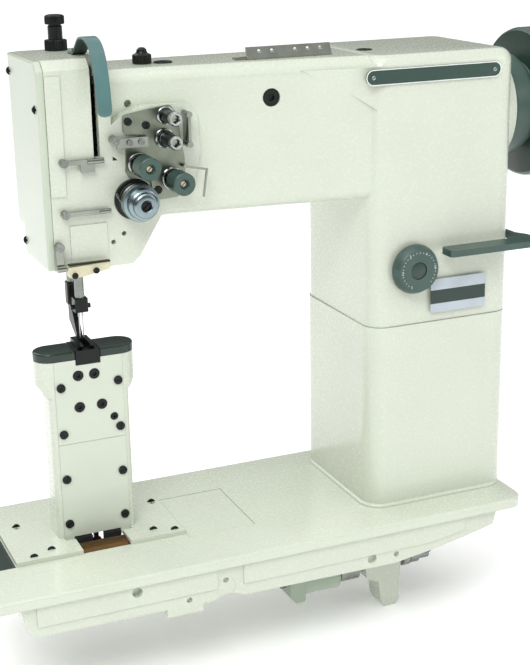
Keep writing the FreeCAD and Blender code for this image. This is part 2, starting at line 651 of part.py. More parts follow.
def make_arm():
    front = "head_front"
    upper = slab("yz", [(front, "lower_head_top - 40"), (front, "head_top - 8"),
                        ("head_front + 8", "head_top"),
                        ("arm_back", "head_top"), ("arm_back", "head_back_low + 8"),
                        ("arm_back - 3", "head_back_low"),
                        (-20, "head_back_low")], "face_left + face_thick", "head_right", corner=5,
                 picks=near(z_min="head_top - 9"))
    lower = slab("xz", [("face_left + face_thick", "head_low"), (34, "head_low"), (41, "head_low + 6"),
                        ("lower_head_right", "head_low + 40"), ("lower_head_right", "lower_head_top"),
                        ("face_left + face_thick", "lower_head_top")], front, 25, corner=3,
                 picks=near(x_min=30))
    beam = slab("xy", [("head_right - 6", "arm_front_left"), (60, "arm_front_left"),
                       ("column_left + 4", "arm_front_right"),
                       ("column_left + 4", "arm_back"), ("head_right - 6", "arm_back")], "arm_bottom",
                "arm_top")
    beam = rounded(beam, 13, lambda edge: near(z_min="arm_top - 0.1")(edge) and not along("y")(edge))
    beam = rounded(beam, 9, lambda edge: near(z_max="arm_bottom + 0.1")(edge) and not along("y")(edge))
    column = slab("xy", column_plan("column_front", "column_back", "column_left", "column_right"),
                  "riser_high + 0.3",
                  "arm_top", corner="column_corner - 2")
    column = rounded(column, 12, near(z_min="arm_top - 0.1"))
    boss = cone("+x", "column_right - 1", 0, "shaft_high", 57, 53, 12)
    pad = slab("xz", [(26, "check_z - 26"), (50, "check_z - 26"), (78, 315), (94, 334), (98, 352),
                      (97, 384), (88, 395),
                      (46, 395), (30, 389), (17, 378), (17, 358), (26, 352)], "head_front",
               "arm_front_left + 8", corner=6)
    strip = block(span("face_left + face_thick", -20), span("head_front - 1.2", "head_front + 1"),
                  span(326, 424))
    low_pad = block(span(-19, 13), span("head_front - 1.2", "head_front + 1"), span("head_low + 1", 301))
    solid = fuse(upper, lower, beam, column, boss, pad, strip, low_pad, make_gusset())

    head_room = block(span("face_left - 5", "head_right - 6"), span("head_front + 7", "arm_back - 7"),
                      span("head_back_low + 8", "head_top - 8"))
    crank_room = block(span(10, 27), span(-33, "arm_back - 8"), span(330, 412))
    low_room = block(span("face_left - 5", 36), span("head_front + 7", 18), span("head_low + 6", 345))
    arm_room = slab("xy", [(54, "arm_front_left + 12"), (60, "arm_front_left + 12"),
                           (236, "arm_front_right + 16"),
                           (236, "arm_back - 8"), (54, "arm_back - 8")], "arm_bottom + 9", "arm_top - 9")
    column_room = block(span("column_left + column_wall", "column_right - column_wall"),
                        span("column_front + column_wall", "column_back - column_wall"),
                        span("riser_high - 5", "arm_top - 10"))
    mid_wall = block(span(238, 262), span("arm_front_right + 10", "arm_back - 1"),
                     span("arm_bottom + 1", "arm_top - 2"))
    bore = rod("+x", 10, 0, "shaft_high", 14, 410)
    slot = block(span("slot_x - 2.7", "slot_x + 2.7"), span(-70, -26),
                 span("lower_head_top + 4", "head_top + 5"))
    needle_way = block(span(-9, 9), span(-14, 14), span("head_low - 5", 275))
    presser_way = rod("+z", 0, "presser_y", 250, 7, 60)
    screw_way = rod("+z", 0, "presser_y", 400, 5, 60)
    plug_hole = rod("+y", 164, -80, 394, 7.8, 60)
    front_holes = holes("+y", [(38.8, -60, 396.5)], 3.2, 25)
    front_holes += holes("+y", [(27.7, -60, 289.8), (18, -60, 283.4)], 2, 14)
    rear_window = block(span(272, 384), span(50, 90), span(206, 392))
    dial_hole = rod("+y", "dial_x", -80, "dial_z", 5 , 40)
    pivot_hole = rod("+x", 380, "pivot_y", "pivot_z", 5, 40)
    pin_holes = [rod("+x", 10, 12, 420, "4 + run_fit", 9.5),
                 rod("+x", 20, "lever_y", "lever_high", "4 + run_fit", 12)]
    top_holes = [rod("-z", 274, -12, 440, 7.2, 40), rod("-z", 83, -8, 440, 7.2, 40),
                 rod("-z", 65, -6, 440, 3, 40)]
    lifter_hole = rod("+y", -14, 30, 315, 5, 30)
    hollow = cut(solid, head_room, crank_room, low_room, arm_room, column_room)
    kept = fuse(hollow, mid_wall)
    node("arm_casting", cut(kept, bore, slot, needle_way, presser_way, screw_way, plug_hole,
                            rear_window, dial_hole,
                            pivot_hole, lifter_hole, *(front_holes + top_holes + pin_holes)))


def make_gusset():
    """The sloping blend between the arm front and the column front, with its diagonal lower edge."""
    top = number(up("arm_top - 9"))
    left, right = number("column_left - 62"), number("column_left + 24")
    plane_front = number("column_front")
    points = {
        "low_arm": Vector(number("column_left - 22"), number("arm_front_right + 3"), number(up(396))),
        "low_column": Vector(right, plane_front, number(up(366))),
        "high_column": Vector(right, plane_front, top),
        "high_arm": Vector(left, number("arm_front_right + 6.4"), top),
        "back_low": Vector(right, number("arm_front_right + 20"), number(up(366))),
        "back_high": Vector(right, number("arm_front_right + 20"), top),
        "back_left": Vector(left, number("arm_front_right + 20"), top),
        "back_arm": Vector(number("column_left - 22"), number("arm_front_right + 20"), number(up(396))),
    }

    def face(*names):
        return Part.Face(Part.makePolygon([points[name] for name in names] + [points[names[0]]]))
    faces = [face("low_arm", "low_column", "high_column"), face("low_arm", "high_column", "high_arm"),
             face("high_arm", "high_column", "back_high", "back_left"),
             face("low_column", "back_low", "back_high", "high_column"),
             face("low_arm", "back_arm", "low_column"), face("back_arm", "back_low", "low_column"),
             face("low_arm", "high_arm", "back_arm"), face("high_arm", "back_left", "back_arm"),
             face("back_left", "back_high", "back_low", "back_arm")]
    gusset = doc.addObject("Part::Feature", "Gusset")
    solid = Part.makeSolid(Part.makeShell(faces))
    if solid.Volume < 0:
        solid.reverse()
    gusset.Shape = solid
    return gusset


def make_arm_covers():
    left = "face_left"
    plate = slab("yz", [("head_front + 0.6", "head_low + 0.8"), (21, "head_low + 0.8"),
                        (25, "head_low + 5"),
                        (25, "head_back_low"), ("arm_back - 4", "head_back_low + 0.4"),
                        ("arm_back - 0.6", "head_back_low + 7"),
                        ("arm_back - 0.6", "head_top - 0.6"), ("head_front + 9", "head_top - 0.6"),
                        ("head_front + 0.6", "head_top - 8.4")], left, "face_left + face_thick - 0.2",
                 corner=2)
    plate = rounded(plate, 2, near(x_max="face_left + 0.1"))
    face_places = [(left, -44, 397), (left, 18, 276), (left, 38, 420)]
    node("face_plate", cut(plate, *holes("+x", [("face_left - 1", y, z) for x, y, z in face_places],
                                         2.1, 12)))
    cover = slab("xz", [(262, 197), (394, 197), (394, 402), (262, 402)], "column_back + 0.1",
                 "column_back + 3", corner=8)
    rear_places = [(x, "column_back + 3", z) for x in (268, 388) for z in (203, 396)]
    node("rear_cover", cut(cover, *holes("-y", [(x, "column_back + 5", z) for x, y, z in rear_places],
                                         2.1, 12)))
    screws = screw_set("-x", face_places, 3.8, 2.4, 5)
    screws += screw_set("+y", rear_places, 3.8, 2, 2.8)
    node("cover_screws", group(*screws))


def make_drive():
    """Everything that turns with the handwheel."""
    node("main_shaft", rod("+x", 15, 0, "shaft_high", "shaft_radius", 441))
    make_pulley("upper_pulley", "shaft_high", "shaft_radius + 0.02")
    hub = "wheel_x - 32"
    profile = [("shaft_radius + 0.02", 0), (46, 0), (48, 2), (48, 20), (40, 24), (40, 29), (52, 31),
               (67, 32),
               ("wheel_radius", 36), ("wheel_radius", 52), ("wheel_radius - 4", 56),
               ("wheel_radius - 14", 56),
               ("wheel_radius - 18", 50), (24, 46), (22, 54), ("shaft_radius + 0.02", 54)]
    node("handwheel", turned("+x", hub, 0, "shaft_high", profile))
    crank_z = "shaft_high + crank_reach"
    disc = fuse(rod("+x", "crank_x", 0, "shaft_high", 15, 8), rod("+x", "crank_x", 0, crank_z, 8, 8),
                block(span("crank_x", "crank_x + 8"), span(-8, 8), span("shaft_high + 2", crank_z)))
    weight = cut(rod("+x", "crank_x", 0, "shaft_high", 25, 8),
                 block(span("crank_x - 5", "crank_x + 20"), span(-30, 30),
                       span("shaft_high - 4", "shaft_high + 40")))
    pin = rod("-x", "crank_x", 0, crank_z, 4, 5)
    node("take_up_crank", cut(fuse(disc, weight, pin), rod("+x", "crank_x", 0, "shaft_high",
                                                           "shaft_radius + 0.02", 20)))
    small = "shaft_high - 30"
    side = "crank_x - 0.6"
    link = fuse(rod("-x", side, 0, crank_z, 8, 3.8), rod("-x", side, 0, small, 6, 3.8),
                block(span("crank_x - 4.4", side), span(-4, 4), span(small, crank_z)))
    node("crank_link", cut(link, rod("-x", "crank_x + 1", 0, crank_z, "4 + run_fit", 14),
                           rod("-x", "crank_x + 1", 0, small, 3, 14)))


def make_needle_group():
    """The rocking frame, the needle bar, its clamp and two needles."""
    pivot = rod("+x", -4, 12, 420, 4, 23)
    back_bar = block(span(-4, 4), span(9.5, 14.5), span(283, 420))
    ears = [block(span(-7.5, 4.8), span(-7, 12), span(low, high)) for low, high in ((283, 297), (372, 384))]
    frame = cut(fuse(pivot, back_bar, *ears), rod("+z", 0, 0, 270, "needle_bar_radius + run_fit", 160))
    node("needle_bar_frame", frame)
    node("needle_bar", cut(rod("+z", 0, 0, "clamp_low + 3", "needle_bar_radius", 200),
                           rod("+z", 0, 0, "clamp_low + 2", 1.8, 30)))
    clamp = slab("xy", [(-6, -6.5), (6, -6.5), (6, 6.5), (-6, 6.5)], "clamp_low", "clamp_low + 12",
                 corner=2)
    screws = [rod("-x", -6, 0, "clamp_low + 4", 2.2, 3), rod("+x", 6, 0, "clamp_low + 4", 2.2, 3)]
    shanks = [rod("+z", sign + "needle_gauge / 2", 0, "clamp_low - 1", 0.95, 6) for sign in ("-", "")]
    node("needle_clamp", cut(fuse(clamp, *screws), rod("+z", 0, 0, "clamp_low + 3", "needle_bar_radius",
                                                       20), *shanks))
    needles = []
    for sign in ("-", ""):
        middle = sign + "needle_gauge / 2"
        needles.append(fuse(rod("+z", middle, 0, "clamp_low - 5", 0.95, 8),
                            rod("+z", middle, 0, "needle_tip + 4", 0.55, "clamp_low - needle_tip - 8.5"),
                            cone("+z", middle, 0, "needle_tip", 0.1, 0.55, 4)))
    node("needles", group(*needles))


def make_presser():
    bar = rod("+z", 0, "presser_y", 222, "presser_radius", 170)
    collar = rod("+z", 0, "presser_y", 318, 7, 8)
    lug = block(span(-11, 0), span("presser_y - 4", "presser_y + 2.5"), span(318, 326))
    node("presser_bar", fuse(bar, collar, lug))
    holder = slab("xy", [(-4.5, "presser_y - 5"), (4.5, "presser_y - 5"), (4.5, "presser_y + 5"),
                         (-4.5, "presser_y + 5")],
                  212, 232, corner=1.5)
    neck = slab("yz", [("presser_y - 4", 214), ("presser_y + 4", 214), ("presser_y + 3", 196),
                       (12, "post_high + 5"),
                       (7, "post_high + 5"), (8, "post_high + 9")], -2.5, 2.5)
    sole = slab("xy", [(-7.5, -12), (-6, -15), (6, -15), (7.5, -12), (7.5, 13), (-7.5, 13)],
                "post_high + 0.4",
                "post_high + 5")
    window = block(span(-3.2, 3.2), span(-16, 4), span("post_high - 2", "post_high + 10"))
    toe = slab("yz", [(-16, "post_high"), (-16, "post_high + 4"), (-10, "post_high")], -10, 10)
    set_screw = rod("+x", 4, "presser_y", 222, 3, 5)
    foot = fuse(holder, neck, set_screw, cut(sole, window, toe))
    node("presser_foot", cut(foot, rod("+z", 0, "presser_y", 222, "presser_radius + 0.02", 20)))
    coil = doc.addObject("Part::Helix", "SpringPath")
    coil.Pitch = 8
    coil.Height = 72
    bind(coil, "Radius", "presser_radius + 2.2")
    locate(coil, 0, "presser_y", 329)
    wire = doc.addObject("Part::Circle", "SpringWire")
    wire.Radius = 0.9
    locate(wire, "presser_radius + 2.2", "presser_y", 329, Rotation(Vector(1, 0, 0), 90))
    spring = doc.addObject("Part::Sweep", "Spring")
    spring.Sections = [wire]
    doc.recompute()
    spring.Spine = (coil, [])
    spring.Solid = True
    spring.Frenet = True
    node("presser_spring", spring)
    knob = fuse(rod("+z", 0, "presser_y", 402.6, 4.6, 44),
                rod("+z", 0, "presser_y", "head_top + 9.4", 6.2, 15),
                rod("+z", 0, "presser_y", "head_top + 22", 8.4, 8))
    node("pressure_screw", knob)
    nut = cut(rod("+z", 0, "presser_y", "head_top + 0.1", 9.6, 8.9),
              rod("+z", 0, "presser_y", "head_top - 1", "4.6 + run_fit", 20))
    node("pressure_lock_nut", nut)
    lifter = fuse(rod("+y", -14, 31, 315, "5 - run_fit", 22), rod("+y", -14, 53, 315, 9, 6),
                  slab("xz", [(-10, 311), (-10, 319), (30, 307), (47, 293), (43, 289), (26, 301)], 53,
                       58, corner=2),
                  block(span(-13, -9.2), span(25.5, 36), span(311, 317.6)))
    node("hand_lifter", lifter)


def make_take_up():
    reach, lift = "lever_reach", "lever_lift"
    body = doc.addObject("PartDesign::Body", "Lever")
    points = [(4, -6.5), ("-lever_reach + 6", -3.2), ("-lever_reach", -3.2), ("-lever_reach", 3.2),
              ("-lever_reach + 6", 3.2), (4, 6.5)]
    sketch = outline(body, "YZ_Plane", points)
    pad = body.newObject("PartDesign::Pad", "Pad")
    pad.Profile = sketch
    pad.Length = 3
    doc.recompute()
    locate(body, "slot_x - 1.5", "lever_y", "lever_high", Rotation(Vector(1, 0, 0), -number(lift)))
    pivot = rod("+x", "slot_x - 1.5", "lever_y", "lever_high", 4, 24)
    eye = doc.addObject("Part::Cylinder", "Eye")
    eye.Radius = 1.3
    eye.Height = 20
    bind(eye, "Placement.Base.x", "slot_x - 10")
    bind(eye, "Placement.Base.y", "lever_y - (lever_reach - 3.4) * cos(lever_lift)")
    bind(eye, "Placement.Base.z", up("lever_high + (lever_reach - 3.4) * sin(lever_lift)"))
    eye.Placement = FreeCAD.Placement(eye.Placement.Base, TURNS["+x"])
    node("take_up_lever", cut(fuse(body, pivot), eye))


def make_guard():
    """A bent strip from the head top over the take-up lever's eye."""
    outer = [(-14, "head_top + 0.1"), (-14, "head_top + 2"), (-22, "head_top + 6"),
             (-34, "head_top + 15"), (-48, "head_top + 17"),
             (-62, "head_top + 13"), (-72, "head_top + 2"), (-79, "head_top - 18"), (-82, "head_top - 44"),
             (-80.2, "head_top - 44"), (-77.2, "head_top - 18"), (-70.4, "head_top + 1.4"),
             (-61, "head_top + 11.2"),
             (-48, "head_top + 15.2"), (-35, "head_top + 13.2"), (-23, "head_top + 4.4"),
             (-8, "head_top + 0.1")]
    strip = slab("yz", outer, 1.5, 13.5)
    foot = block(span(1.5, 13.5), span(-20, -2), span("head_top + 0.1", "head_top + 2"))
    post = [rod("+z", 7.5, -7, "head_top + 1.9", 2.8, 1.8)]
    node("take_up_guard", fuse(strip, foot, *post))


def make_tensions():
    """The plate on the head front with two tensions, two pre-tensions and the check spring regulator."""
    plate = slab("xz", [(30.5, 374), (30.5, 388.6), (50, 392), (72, 395), (78, 386), (80, 368),
                        (83, 350), (83, 328),
                        (76, 317), (60, 316), (54, 322), (52, 336), (36, 334), (31, 342), (32, 360),
                        (44, 366),
                        (44, 372)], "plate_front", "plate_front + plate_thick", corner=2.5,
                 picks=near(z_min=300))
    stud_places = [("main_left_x", "main_left_z"), ("main_right_x", "main_right_z"),
                   ("pre_up_x", "pre_up_z"),
                   ("pre_low_x", "pre_low_z")]
    plate_screws = [(34.5, 383.5), (50, 379.5), (58.5, 324.5)]
    openings = holes("-y", [(x, -40, z) for x, z in stud_places], 3, 30)
    openings += holes("-y", [(x, -40, z) for x, z in plate_screws], 1.8, 30)
    openings.append(rod("-y", "check_x", -40, "check_z", 17.5, 30))
    node("tension_plate", cut(plate, *openings))

    disc_radii = (9.6, 9.6, 7.4, 8.2)
    core_lengths = ("main_reach - 4", "main_reach - 4", "pre_up_reach - 5", "pre_low_reach - 5")
    studs = []
    for (x, z), disc, core_length in zip(stud_places, disc_radii, core_lengths):
        foot = rod("-y", x, "head_front - 0.1", z, 2.9, 4)
        rings = [rod("-y", x, "plate_front - 0.1", z, disc, 1),
                 cone("-y", x, "plate_front - 1.1", z, disc - 2, disc, 0.9),
                 cone("-y", x, "plate_front - 2", z, disc, disc - 2, 0.9)]
        core = rod("-y", x, "plate_front - 0.1", z, 2.9, core_length)
        coil = rod("-y", x, "plate_front - 2.8", z, disc - 2.6, 3)
        studs.append(fuse(foot, core, coil, *rings))
    node("tension_studs", group(*studs))

    bore = "2.9 + run_fit"
    for name, x, z in (("tension_knob_left", "main_left_x", "main_left_z"),
                       ("tension_knob_right", "main_right_x", "main_right_z")):
        collar, rim = "knob_radius - 2", "main_reach - 7.2"
        profile = [(bore, 0), (collar, 0), (collar, 5), ("knob_radius", 5.6), ("knob_radius", rim),
                   ("knob_radius - 1", "main_reach - 6.2"), (bore, "main_reach - 6.2")]
        node(name, turned("-y", x, "plate_front - 6.2", z, profile))
    for name, x, z, reach in (("pre_tension_nut_upper", "pre_up_x", "pre_up_z", "pre_up_reach"),
                              ("pre_tension_nut_lower", "pre_low_x", "pre_low_z", "pre_low_reach")):
        face = "%s - 6.2" % reach
        neck = "%s - 13.2" % reach
        profile = [(bore, 0), (5.6, 0), (5.6, "%s - 1" % neck), (4.6, neck), (4.6, "%s + 1" % neck),
                   (6, "%s + 2" % neck), (6, "%s - 1" % face), (5.2, face), (bore, face)]
        node(name, turned("-y", x, "plate_front - 6.2", z, profile))

    profile = [(0, 0), (17.2, 0), (17.2, 3), (14, 4), (14, 17), (16, 18), (16, 21), (13, 22), (13, 28),
               (10.5, 29),
               (10.5, 34), (7, 35), (0, 35)]
    base = cut(turned("-y", "check_x", "head_front - 0.2", "check_z", profile),
               rod("-y", "check_x", "head_front - 29", "check_z", 4.4, 10))
    spring = rod("-x", "check_x - 13", "head_front - 10.2", "check_z + 4", 1, 7)
    node("check_spring_regulator", fuse(base, spring))


def make_guides():
    """Sheet and wire thread guides on the head front, beside the tensions and on the arm."""
    y = "head_front - 1.3"
    pieces = []
    bar = fuse(block(span(-24, 10), span("head_front - 5", "head_front - 2.4"), span(352, 356)),
               rod("-y", -22, "head_front - 1.3", 354, 3.6, 5.4),
               rod("-x", 12, "head_front - 4", 354, 2.4, 14),
               block(span(-8, 4), span("head_front - 5", "head_front - 3.4"), span(345, 353)))
    pieces.append(bar)
    low_bar = fuse(block(span(-25, 12), span("head_front - 5", "head_front - 2.4"), span(309.5, 313.5)),
                   rod("-y", -23, "head_front - 1.3", 311.5, 3.6, 5.4),
                   rod("-x", 16, "head_front - 4", 311.5, 2, 10))
    pieces.append(low_bar)
    drop = fuse(block(span(-33, -26.6), span("head_front - 4.6", "head_front - 1.3"), span(268.5, 287)),
                rod("-y", -29.8, y, 285, 4, 5.6), rod("-x", -26, "head_front - 5.2", 267, 3, 7))
    pieces.append(drop)
    bracket = fuse(block(span(23, 50), span("plate_front - 5", "plate_front - 2.5"), span(362.6, 371)),
                   rod("-y", 21.5, "head_front - 0.1", 369.5, 3.8, 9),
                   rod("-y", 34, "plate_front - 0.1", 367, 2.4, 6),
                   rod("-y", 44, "plate_front - 0.1", 367, 2.4, 6))
    pieces.append(bracket)
    blade = fuse(block(span(83.2, 85.6), span("head_front - 14", "head_front - 0.1"), span(360, 389)),
                 rod("-y", 84.4, "head_front - 0.1", 387, 2.6, 14.2),
                 rod("-y", 84.4, "head_front - 0.1", 362, 2.6, 14.2))
    pieces.append(blade)
    wire = fuse(rod("-y", 80.5, "plate_front - 0.1", 343.6, 1.2, 6.4),
                slab("xz", [(79.6, 344.4), (101.4, 339.8), (97.8, 315.6), (96.2, 315.9), (99.6, 338.4),
                            (79.6, 342.6)],
                     "plate_front - 6.4", "plate_front - 4.8"))
    pieces.append(wire)

    block_plan = [(-25, "head_low + 5"), (-24, "head_low - 4"), (-12, "head_low - 4"),
                  (11, "head_low + 0.5"), (12, "head_low + 7")]
    guide = slab("xz", block_plan, "head_front - 9", "head_front - 1.3", corner=1.5)
    dots = [rod("-y", x, "head_front - 9", z, 2.6, 1.4) for x, z in ((-19.6, 261.2), (-1.2, 263.6))]
    node("lower_guide_block", fuse(guide, *dots))

    lip = slab("yz", [(-31, "arm_top + 0.1"), (-18, "arm_top + 0.1"), (-18, "arm_top + 1.6"),
                      (-29, "arm_top + 1.6"),
                      (-25, "arm_top + 10"), (-26.6, "arm_top + 10.6"), (-31.4, "arm_top + 1")], 152, 232)
    eyes = holes("+y", [(x, -40, "arm_top + 6.6") for x in (164, 176, 198, 210, 222)], 1.7, 30)
    loop = [rod("-x", 153, -28.6, "arm_top + 1.1", 0.85, 11),
            rod("+y", 142.9, -29.2, "arm_top + 1.1", 0.8, 9),
            rod("+x", 142, -21, "arm_top + 1.1", 0.75, 11)]
    pieces.append(fuse(cut(lip, *eyes), *loop))
    node("thread_guides", group(*pieces))


def make_controls():
    face = "column_front"
    profile = [(4.9, -14), (4.9, 0.3), ("dial_radius", 0.3), ("dial_radius", 8),
               ("dial_radius - 3", 13.5), (8, 13.5), (8, 12), (0, 12), (0, -14)]
    node("stitch_dial", turned("-y", "dial_x", face, "dial_z", profile))
    handle = slab("xy", [(320, -96), (417, -96), (417, -76), (320, -76)], "handle_z - 3",
                  "handle_z + 3", corner=4)
    arm = slab("xy", [(404.5, "pivot_y - 7"), (404.5, -80), (417, -80), (417, -70), (411, -58),
                      (411, "pivot_y - 7")],
               "handle_z - 3", "handle_z + 3")
    hub = rod("+x", 401.4, "pivot_y", "pivot_z", 10, 11)
    stud = rod("+x", 380, "pivot_y", "pivot_z", "5 - run_fit", 22)
    node("reverse_lever", fuse(handle, arm, hub, stud, block(span(404.5, 411),
                                                             span("pivot_y - 12", "pivot_y"),
                                                            span("handle_z - 3", "handle_z + 6"))))
    turning = [(2.9, -12), (2.9, 0.3), (8.2, 0.3), (8.2, 8), (5, 9), (4.4, 12), (2.6, 13.6), (0, 14),
               (0, -12)]
    node("top_knob", turned("+z", 65, -6, "arm_top", turning))

    plate_z = 406.5
    ends = (252.5, 374.7)
    strip = fuse(block(span(ends[0], ends[1]), span("column_front - 1.3", "column_front - 0.1"),
                       span(plate_z - 7, plate_z + 7)),
                 rod("-y", ends[0], "column_front - 0.1", plate_z, 7, 1.2),
                 rod("-y", ends[1], "column_front - 0.1", plate_z, 7, 1.2))
    rivets = [rod("-y", x, "column_front - 1.2", plate_z, 1.6, 0.8) for x in ends]
    node("nameplate", fuse(strip, *rivets))


def make_plugs():
    plugs = [fuse(rod("+y", 164, "arm_front_left - 10", 394, 7.7, 6),
                  rod("-y", 164, "arm_front_left - 4", 394, 7.7, 5))]
    plugs.append(fuse(rod("-z", 274, -12, "arm_top + 0.8", 7.1, 8)))
    plugs.append(fuse(rod("-z", 83, -8, "arm_top + 0.8", 7.1, 8),
                      rod("+z", 83, -8, "arm_top + 0.05", 8.2, 1.2)))
    places = [(-9.7, 157.2), (5.1, 157.2), (-9.9, 127.7), (10.6, 127.7)]
    plugs += [rod("+y", x, "-post_deep - 0.6", z, 4.8, "post_cover_thick + 0.1") for x, z in places]
    plugs.append(rod("+y", 21.4, "-post_deep - 0.6", 114.2, 3.6, "post_cover_thick + 0.1"))
    node("plugs", group(*plugs))


make_bed()
make_post()
make_post_top()
make_lower_drive()
make_belt()
make_feed()
make_regulator()
make_riser()
make_arm()
make_arm_covers()
make_drive()
make_needle_group()
make_presser()
make_take_up()
make_guard()
make_tensions()
make_guides()
make_controls()
make_plugs()
doc.recompute()

# ---------------------------------------------------------------- checks and export
failed = [thing for thing in doc.Objects if "Invalid" in thing.State or "Error" in thing.State]
if failed:
    raise RuntimeError("did not recompute: %s" % ", ".join("%s (%s)" % (thing.Label,
                                                                        thing.TypeId) for thing in failed))
for name, thing in nodes.items():
    if thing.Shape.isNull() or not thing.Shape.isValid() or not thing.Shape.Solids:
        raise RuntimeError("%s has no valid solid" % name)
    thing.Shape.exportStep("parts/%s.step" % name)
print("wrote %d sub-parts" % len(nodes))
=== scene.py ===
import math

import bmesh
import bpy
from mathutils import Matrix, Vector


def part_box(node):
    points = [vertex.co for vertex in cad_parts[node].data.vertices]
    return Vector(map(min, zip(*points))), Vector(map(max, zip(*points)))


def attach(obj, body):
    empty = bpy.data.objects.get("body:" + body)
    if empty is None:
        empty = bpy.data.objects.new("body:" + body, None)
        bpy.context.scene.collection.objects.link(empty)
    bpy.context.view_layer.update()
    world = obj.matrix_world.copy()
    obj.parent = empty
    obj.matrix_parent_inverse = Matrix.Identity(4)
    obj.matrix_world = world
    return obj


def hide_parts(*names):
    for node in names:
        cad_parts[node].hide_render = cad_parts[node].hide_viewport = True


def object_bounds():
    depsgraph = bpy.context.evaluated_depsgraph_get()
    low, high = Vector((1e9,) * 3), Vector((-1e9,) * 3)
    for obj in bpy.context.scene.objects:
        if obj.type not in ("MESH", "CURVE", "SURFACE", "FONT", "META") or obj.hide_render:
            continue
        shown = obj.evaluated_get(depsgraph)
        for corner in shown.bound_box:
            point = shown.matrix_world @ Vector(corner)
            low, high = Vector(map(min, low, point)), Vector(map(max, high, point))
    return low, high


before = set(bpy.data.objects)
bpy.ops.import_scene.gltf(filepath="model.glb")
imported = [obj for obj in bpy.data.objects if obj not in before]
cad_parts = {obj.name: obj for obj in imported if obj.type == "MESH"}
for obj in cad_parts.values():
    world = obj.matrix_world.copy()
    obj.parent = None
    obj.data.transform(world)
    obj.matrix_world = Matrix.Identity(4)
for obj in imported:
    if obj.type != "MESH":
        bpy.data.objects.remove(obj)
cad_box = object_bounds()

# Post-bed leather sewing machine head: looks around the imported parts.
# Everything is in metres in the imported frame. Profiles and small sizes are in millimetres.
MM = 0.001
TABLE_LIP = 9 * MM      # the bed surface is this far above the frame's origin
LEFT, RIGHT = Vector((-1, 0, 0)), Vector((1, 0, 0))
FRONT, BACK = Vector((0, -1, 0)), Vector((0, 1, 0))
UP = Vector((0, 0, 1))
SMOOTH_ANGLE = math.radians(27)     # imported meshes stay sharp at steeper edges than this
CREASE_ANGLE = math.radians(32)     # the same for built meshes
BEVEL_ANGLE = math.radians(38)      # steeper edges are rounded


# ---------------------------------------------------------------- materials
class Shader:
    """A node material: one Principled shader and the nodes that feed it."""

    def __init__(self, name):
        self.material = bpy.data.materials.new(name)
        self.material.use_nodes = True
        self.tree = self.material.node_tree
        self.shader = self.tree.nodes["Principled BSDF"]
        self.place = self.tree.nodes.new("ShaderNodeTexCoord").outputs["Object"]

    def set(self, **values):
        for key, value in values.items():
            self.shader.inputs[key.replace("_", " ")].default_value = value

    def noise(self, scale, detail=2.0, rough=0.5, stretch=(1, 1, 1)):
        mapping = self.tree.nodes.new("ShaderNodeMapping")
        mapping.inputs["Scale"].default_value = stretch
        self.tree.links.new(self.place, mapping.inputs["Vector"])
        noise = self.tree.nodes.new("ShaderNodeTexNoise")
        noise.inputs["Scale"].default_value = scale
        noise.inputs["Detail"].default_value = detail
        noise.inputs["Roughness"].default_value = rough
        self.tree.links.new(mapping.outputs["Vector"], noise.inputs["Vector"])
        return noise.outputs["Fac"]

    def cells(self, scale):
        cells = self.tree.nodes.new("ShaderNodeTexVoronoi")
        cells.inputs["Scale"].default_value = scale
        cells.feature = "SMOOTH_F1"
        self.tree.links.new(self.place, cells.inputs["Vector"])
        return cells.outputs["Distance"]

    def ramp(self, value, stops):
        ramp = self.tree.nodes.new("ShaderNodeValToRGB")
        elements = ramp.color_ramp.elements
        while len(elements) < len(stops):
            elements.new(0.5)
        for element, (place, colour) in zip(elements, stops):
            element.position = place
            element.color = (*colour, 1)
        self.tree.links.new(value, ramp.inputs["Fac"])
        return ramp.outputs["Color"]

    def spread(self, value, low, high):
        spread = self.tree.nodes.new("ShaderNodeMapRange")
        spread.inputs["To Min"].default_value = low
        spread.inputs["To Max"].default_value = high
        self.tree.links.new(value, spread.inputs["Value"])
        return spread.outputs["Result"]

    def feed(self, key, value):
        self.tree.links.new(value, self.shader.inputs[key])

    def relief(self, heights, edge=0.0):
        """Bump from (height, strength, depth in mm), on top of edges rounded by edge mm."""
        normal = None
        if edge:
            bevel = self.tree.nodes.new("ShaderNodeBevel")
            bevel.samples = 4
            bevel.inputs["Radius"].default_value = edge * MM
            normal = bevel.outputs["Normal"]
        for height, strength, depth in heights:
            bump = self.tree.nodes.new("ShaderNodeBump")
            bump.inputs["Strength"].default_value = strength
            bump.inputs["Distance"].default_value = depth * MM
            self.tree.links.new(height, bump.inputs["Height"])
            if normal:
                self.tree.links.new(normal, bump.inputs["Normal"])
            normal = bump.outputs["Normal"]
        if normal:
            self.feed("Normal", normal)


def shade(colour, factor):
    return tuple(min(1.0, part * factor) for part in colour)


def enamel(name, colour, rough=0.24, hammered=0.5, edge=0.7):
    """Thick stoved paint: shallow hammered cells, slow colour drift and fine speckle."""
    paint = Shader(name)
    drift = paint.noise(9, 3)
    paint.feed("Base Color", paint.ramp(drift, [(0.3, shade(colour, 0.965)), (0.5, colour),
                                                (0.72, shade(colour, 1.02))]))
    paint.set(Coat_Weight=0.5, Coat_Roughness=0.12, Specular_IOR_Level=0.5)
    paint.feed("Roughness", paint.spread(paint.noise(420, 2), rough - 0.06, rough + 0.10))
    paint.relief([(paint.cells(900), hammered * 0.6, 0.06),
                  (paint.noise(2300, 1), hammered * 0.6, 0.03)], edge)
    return paint.material


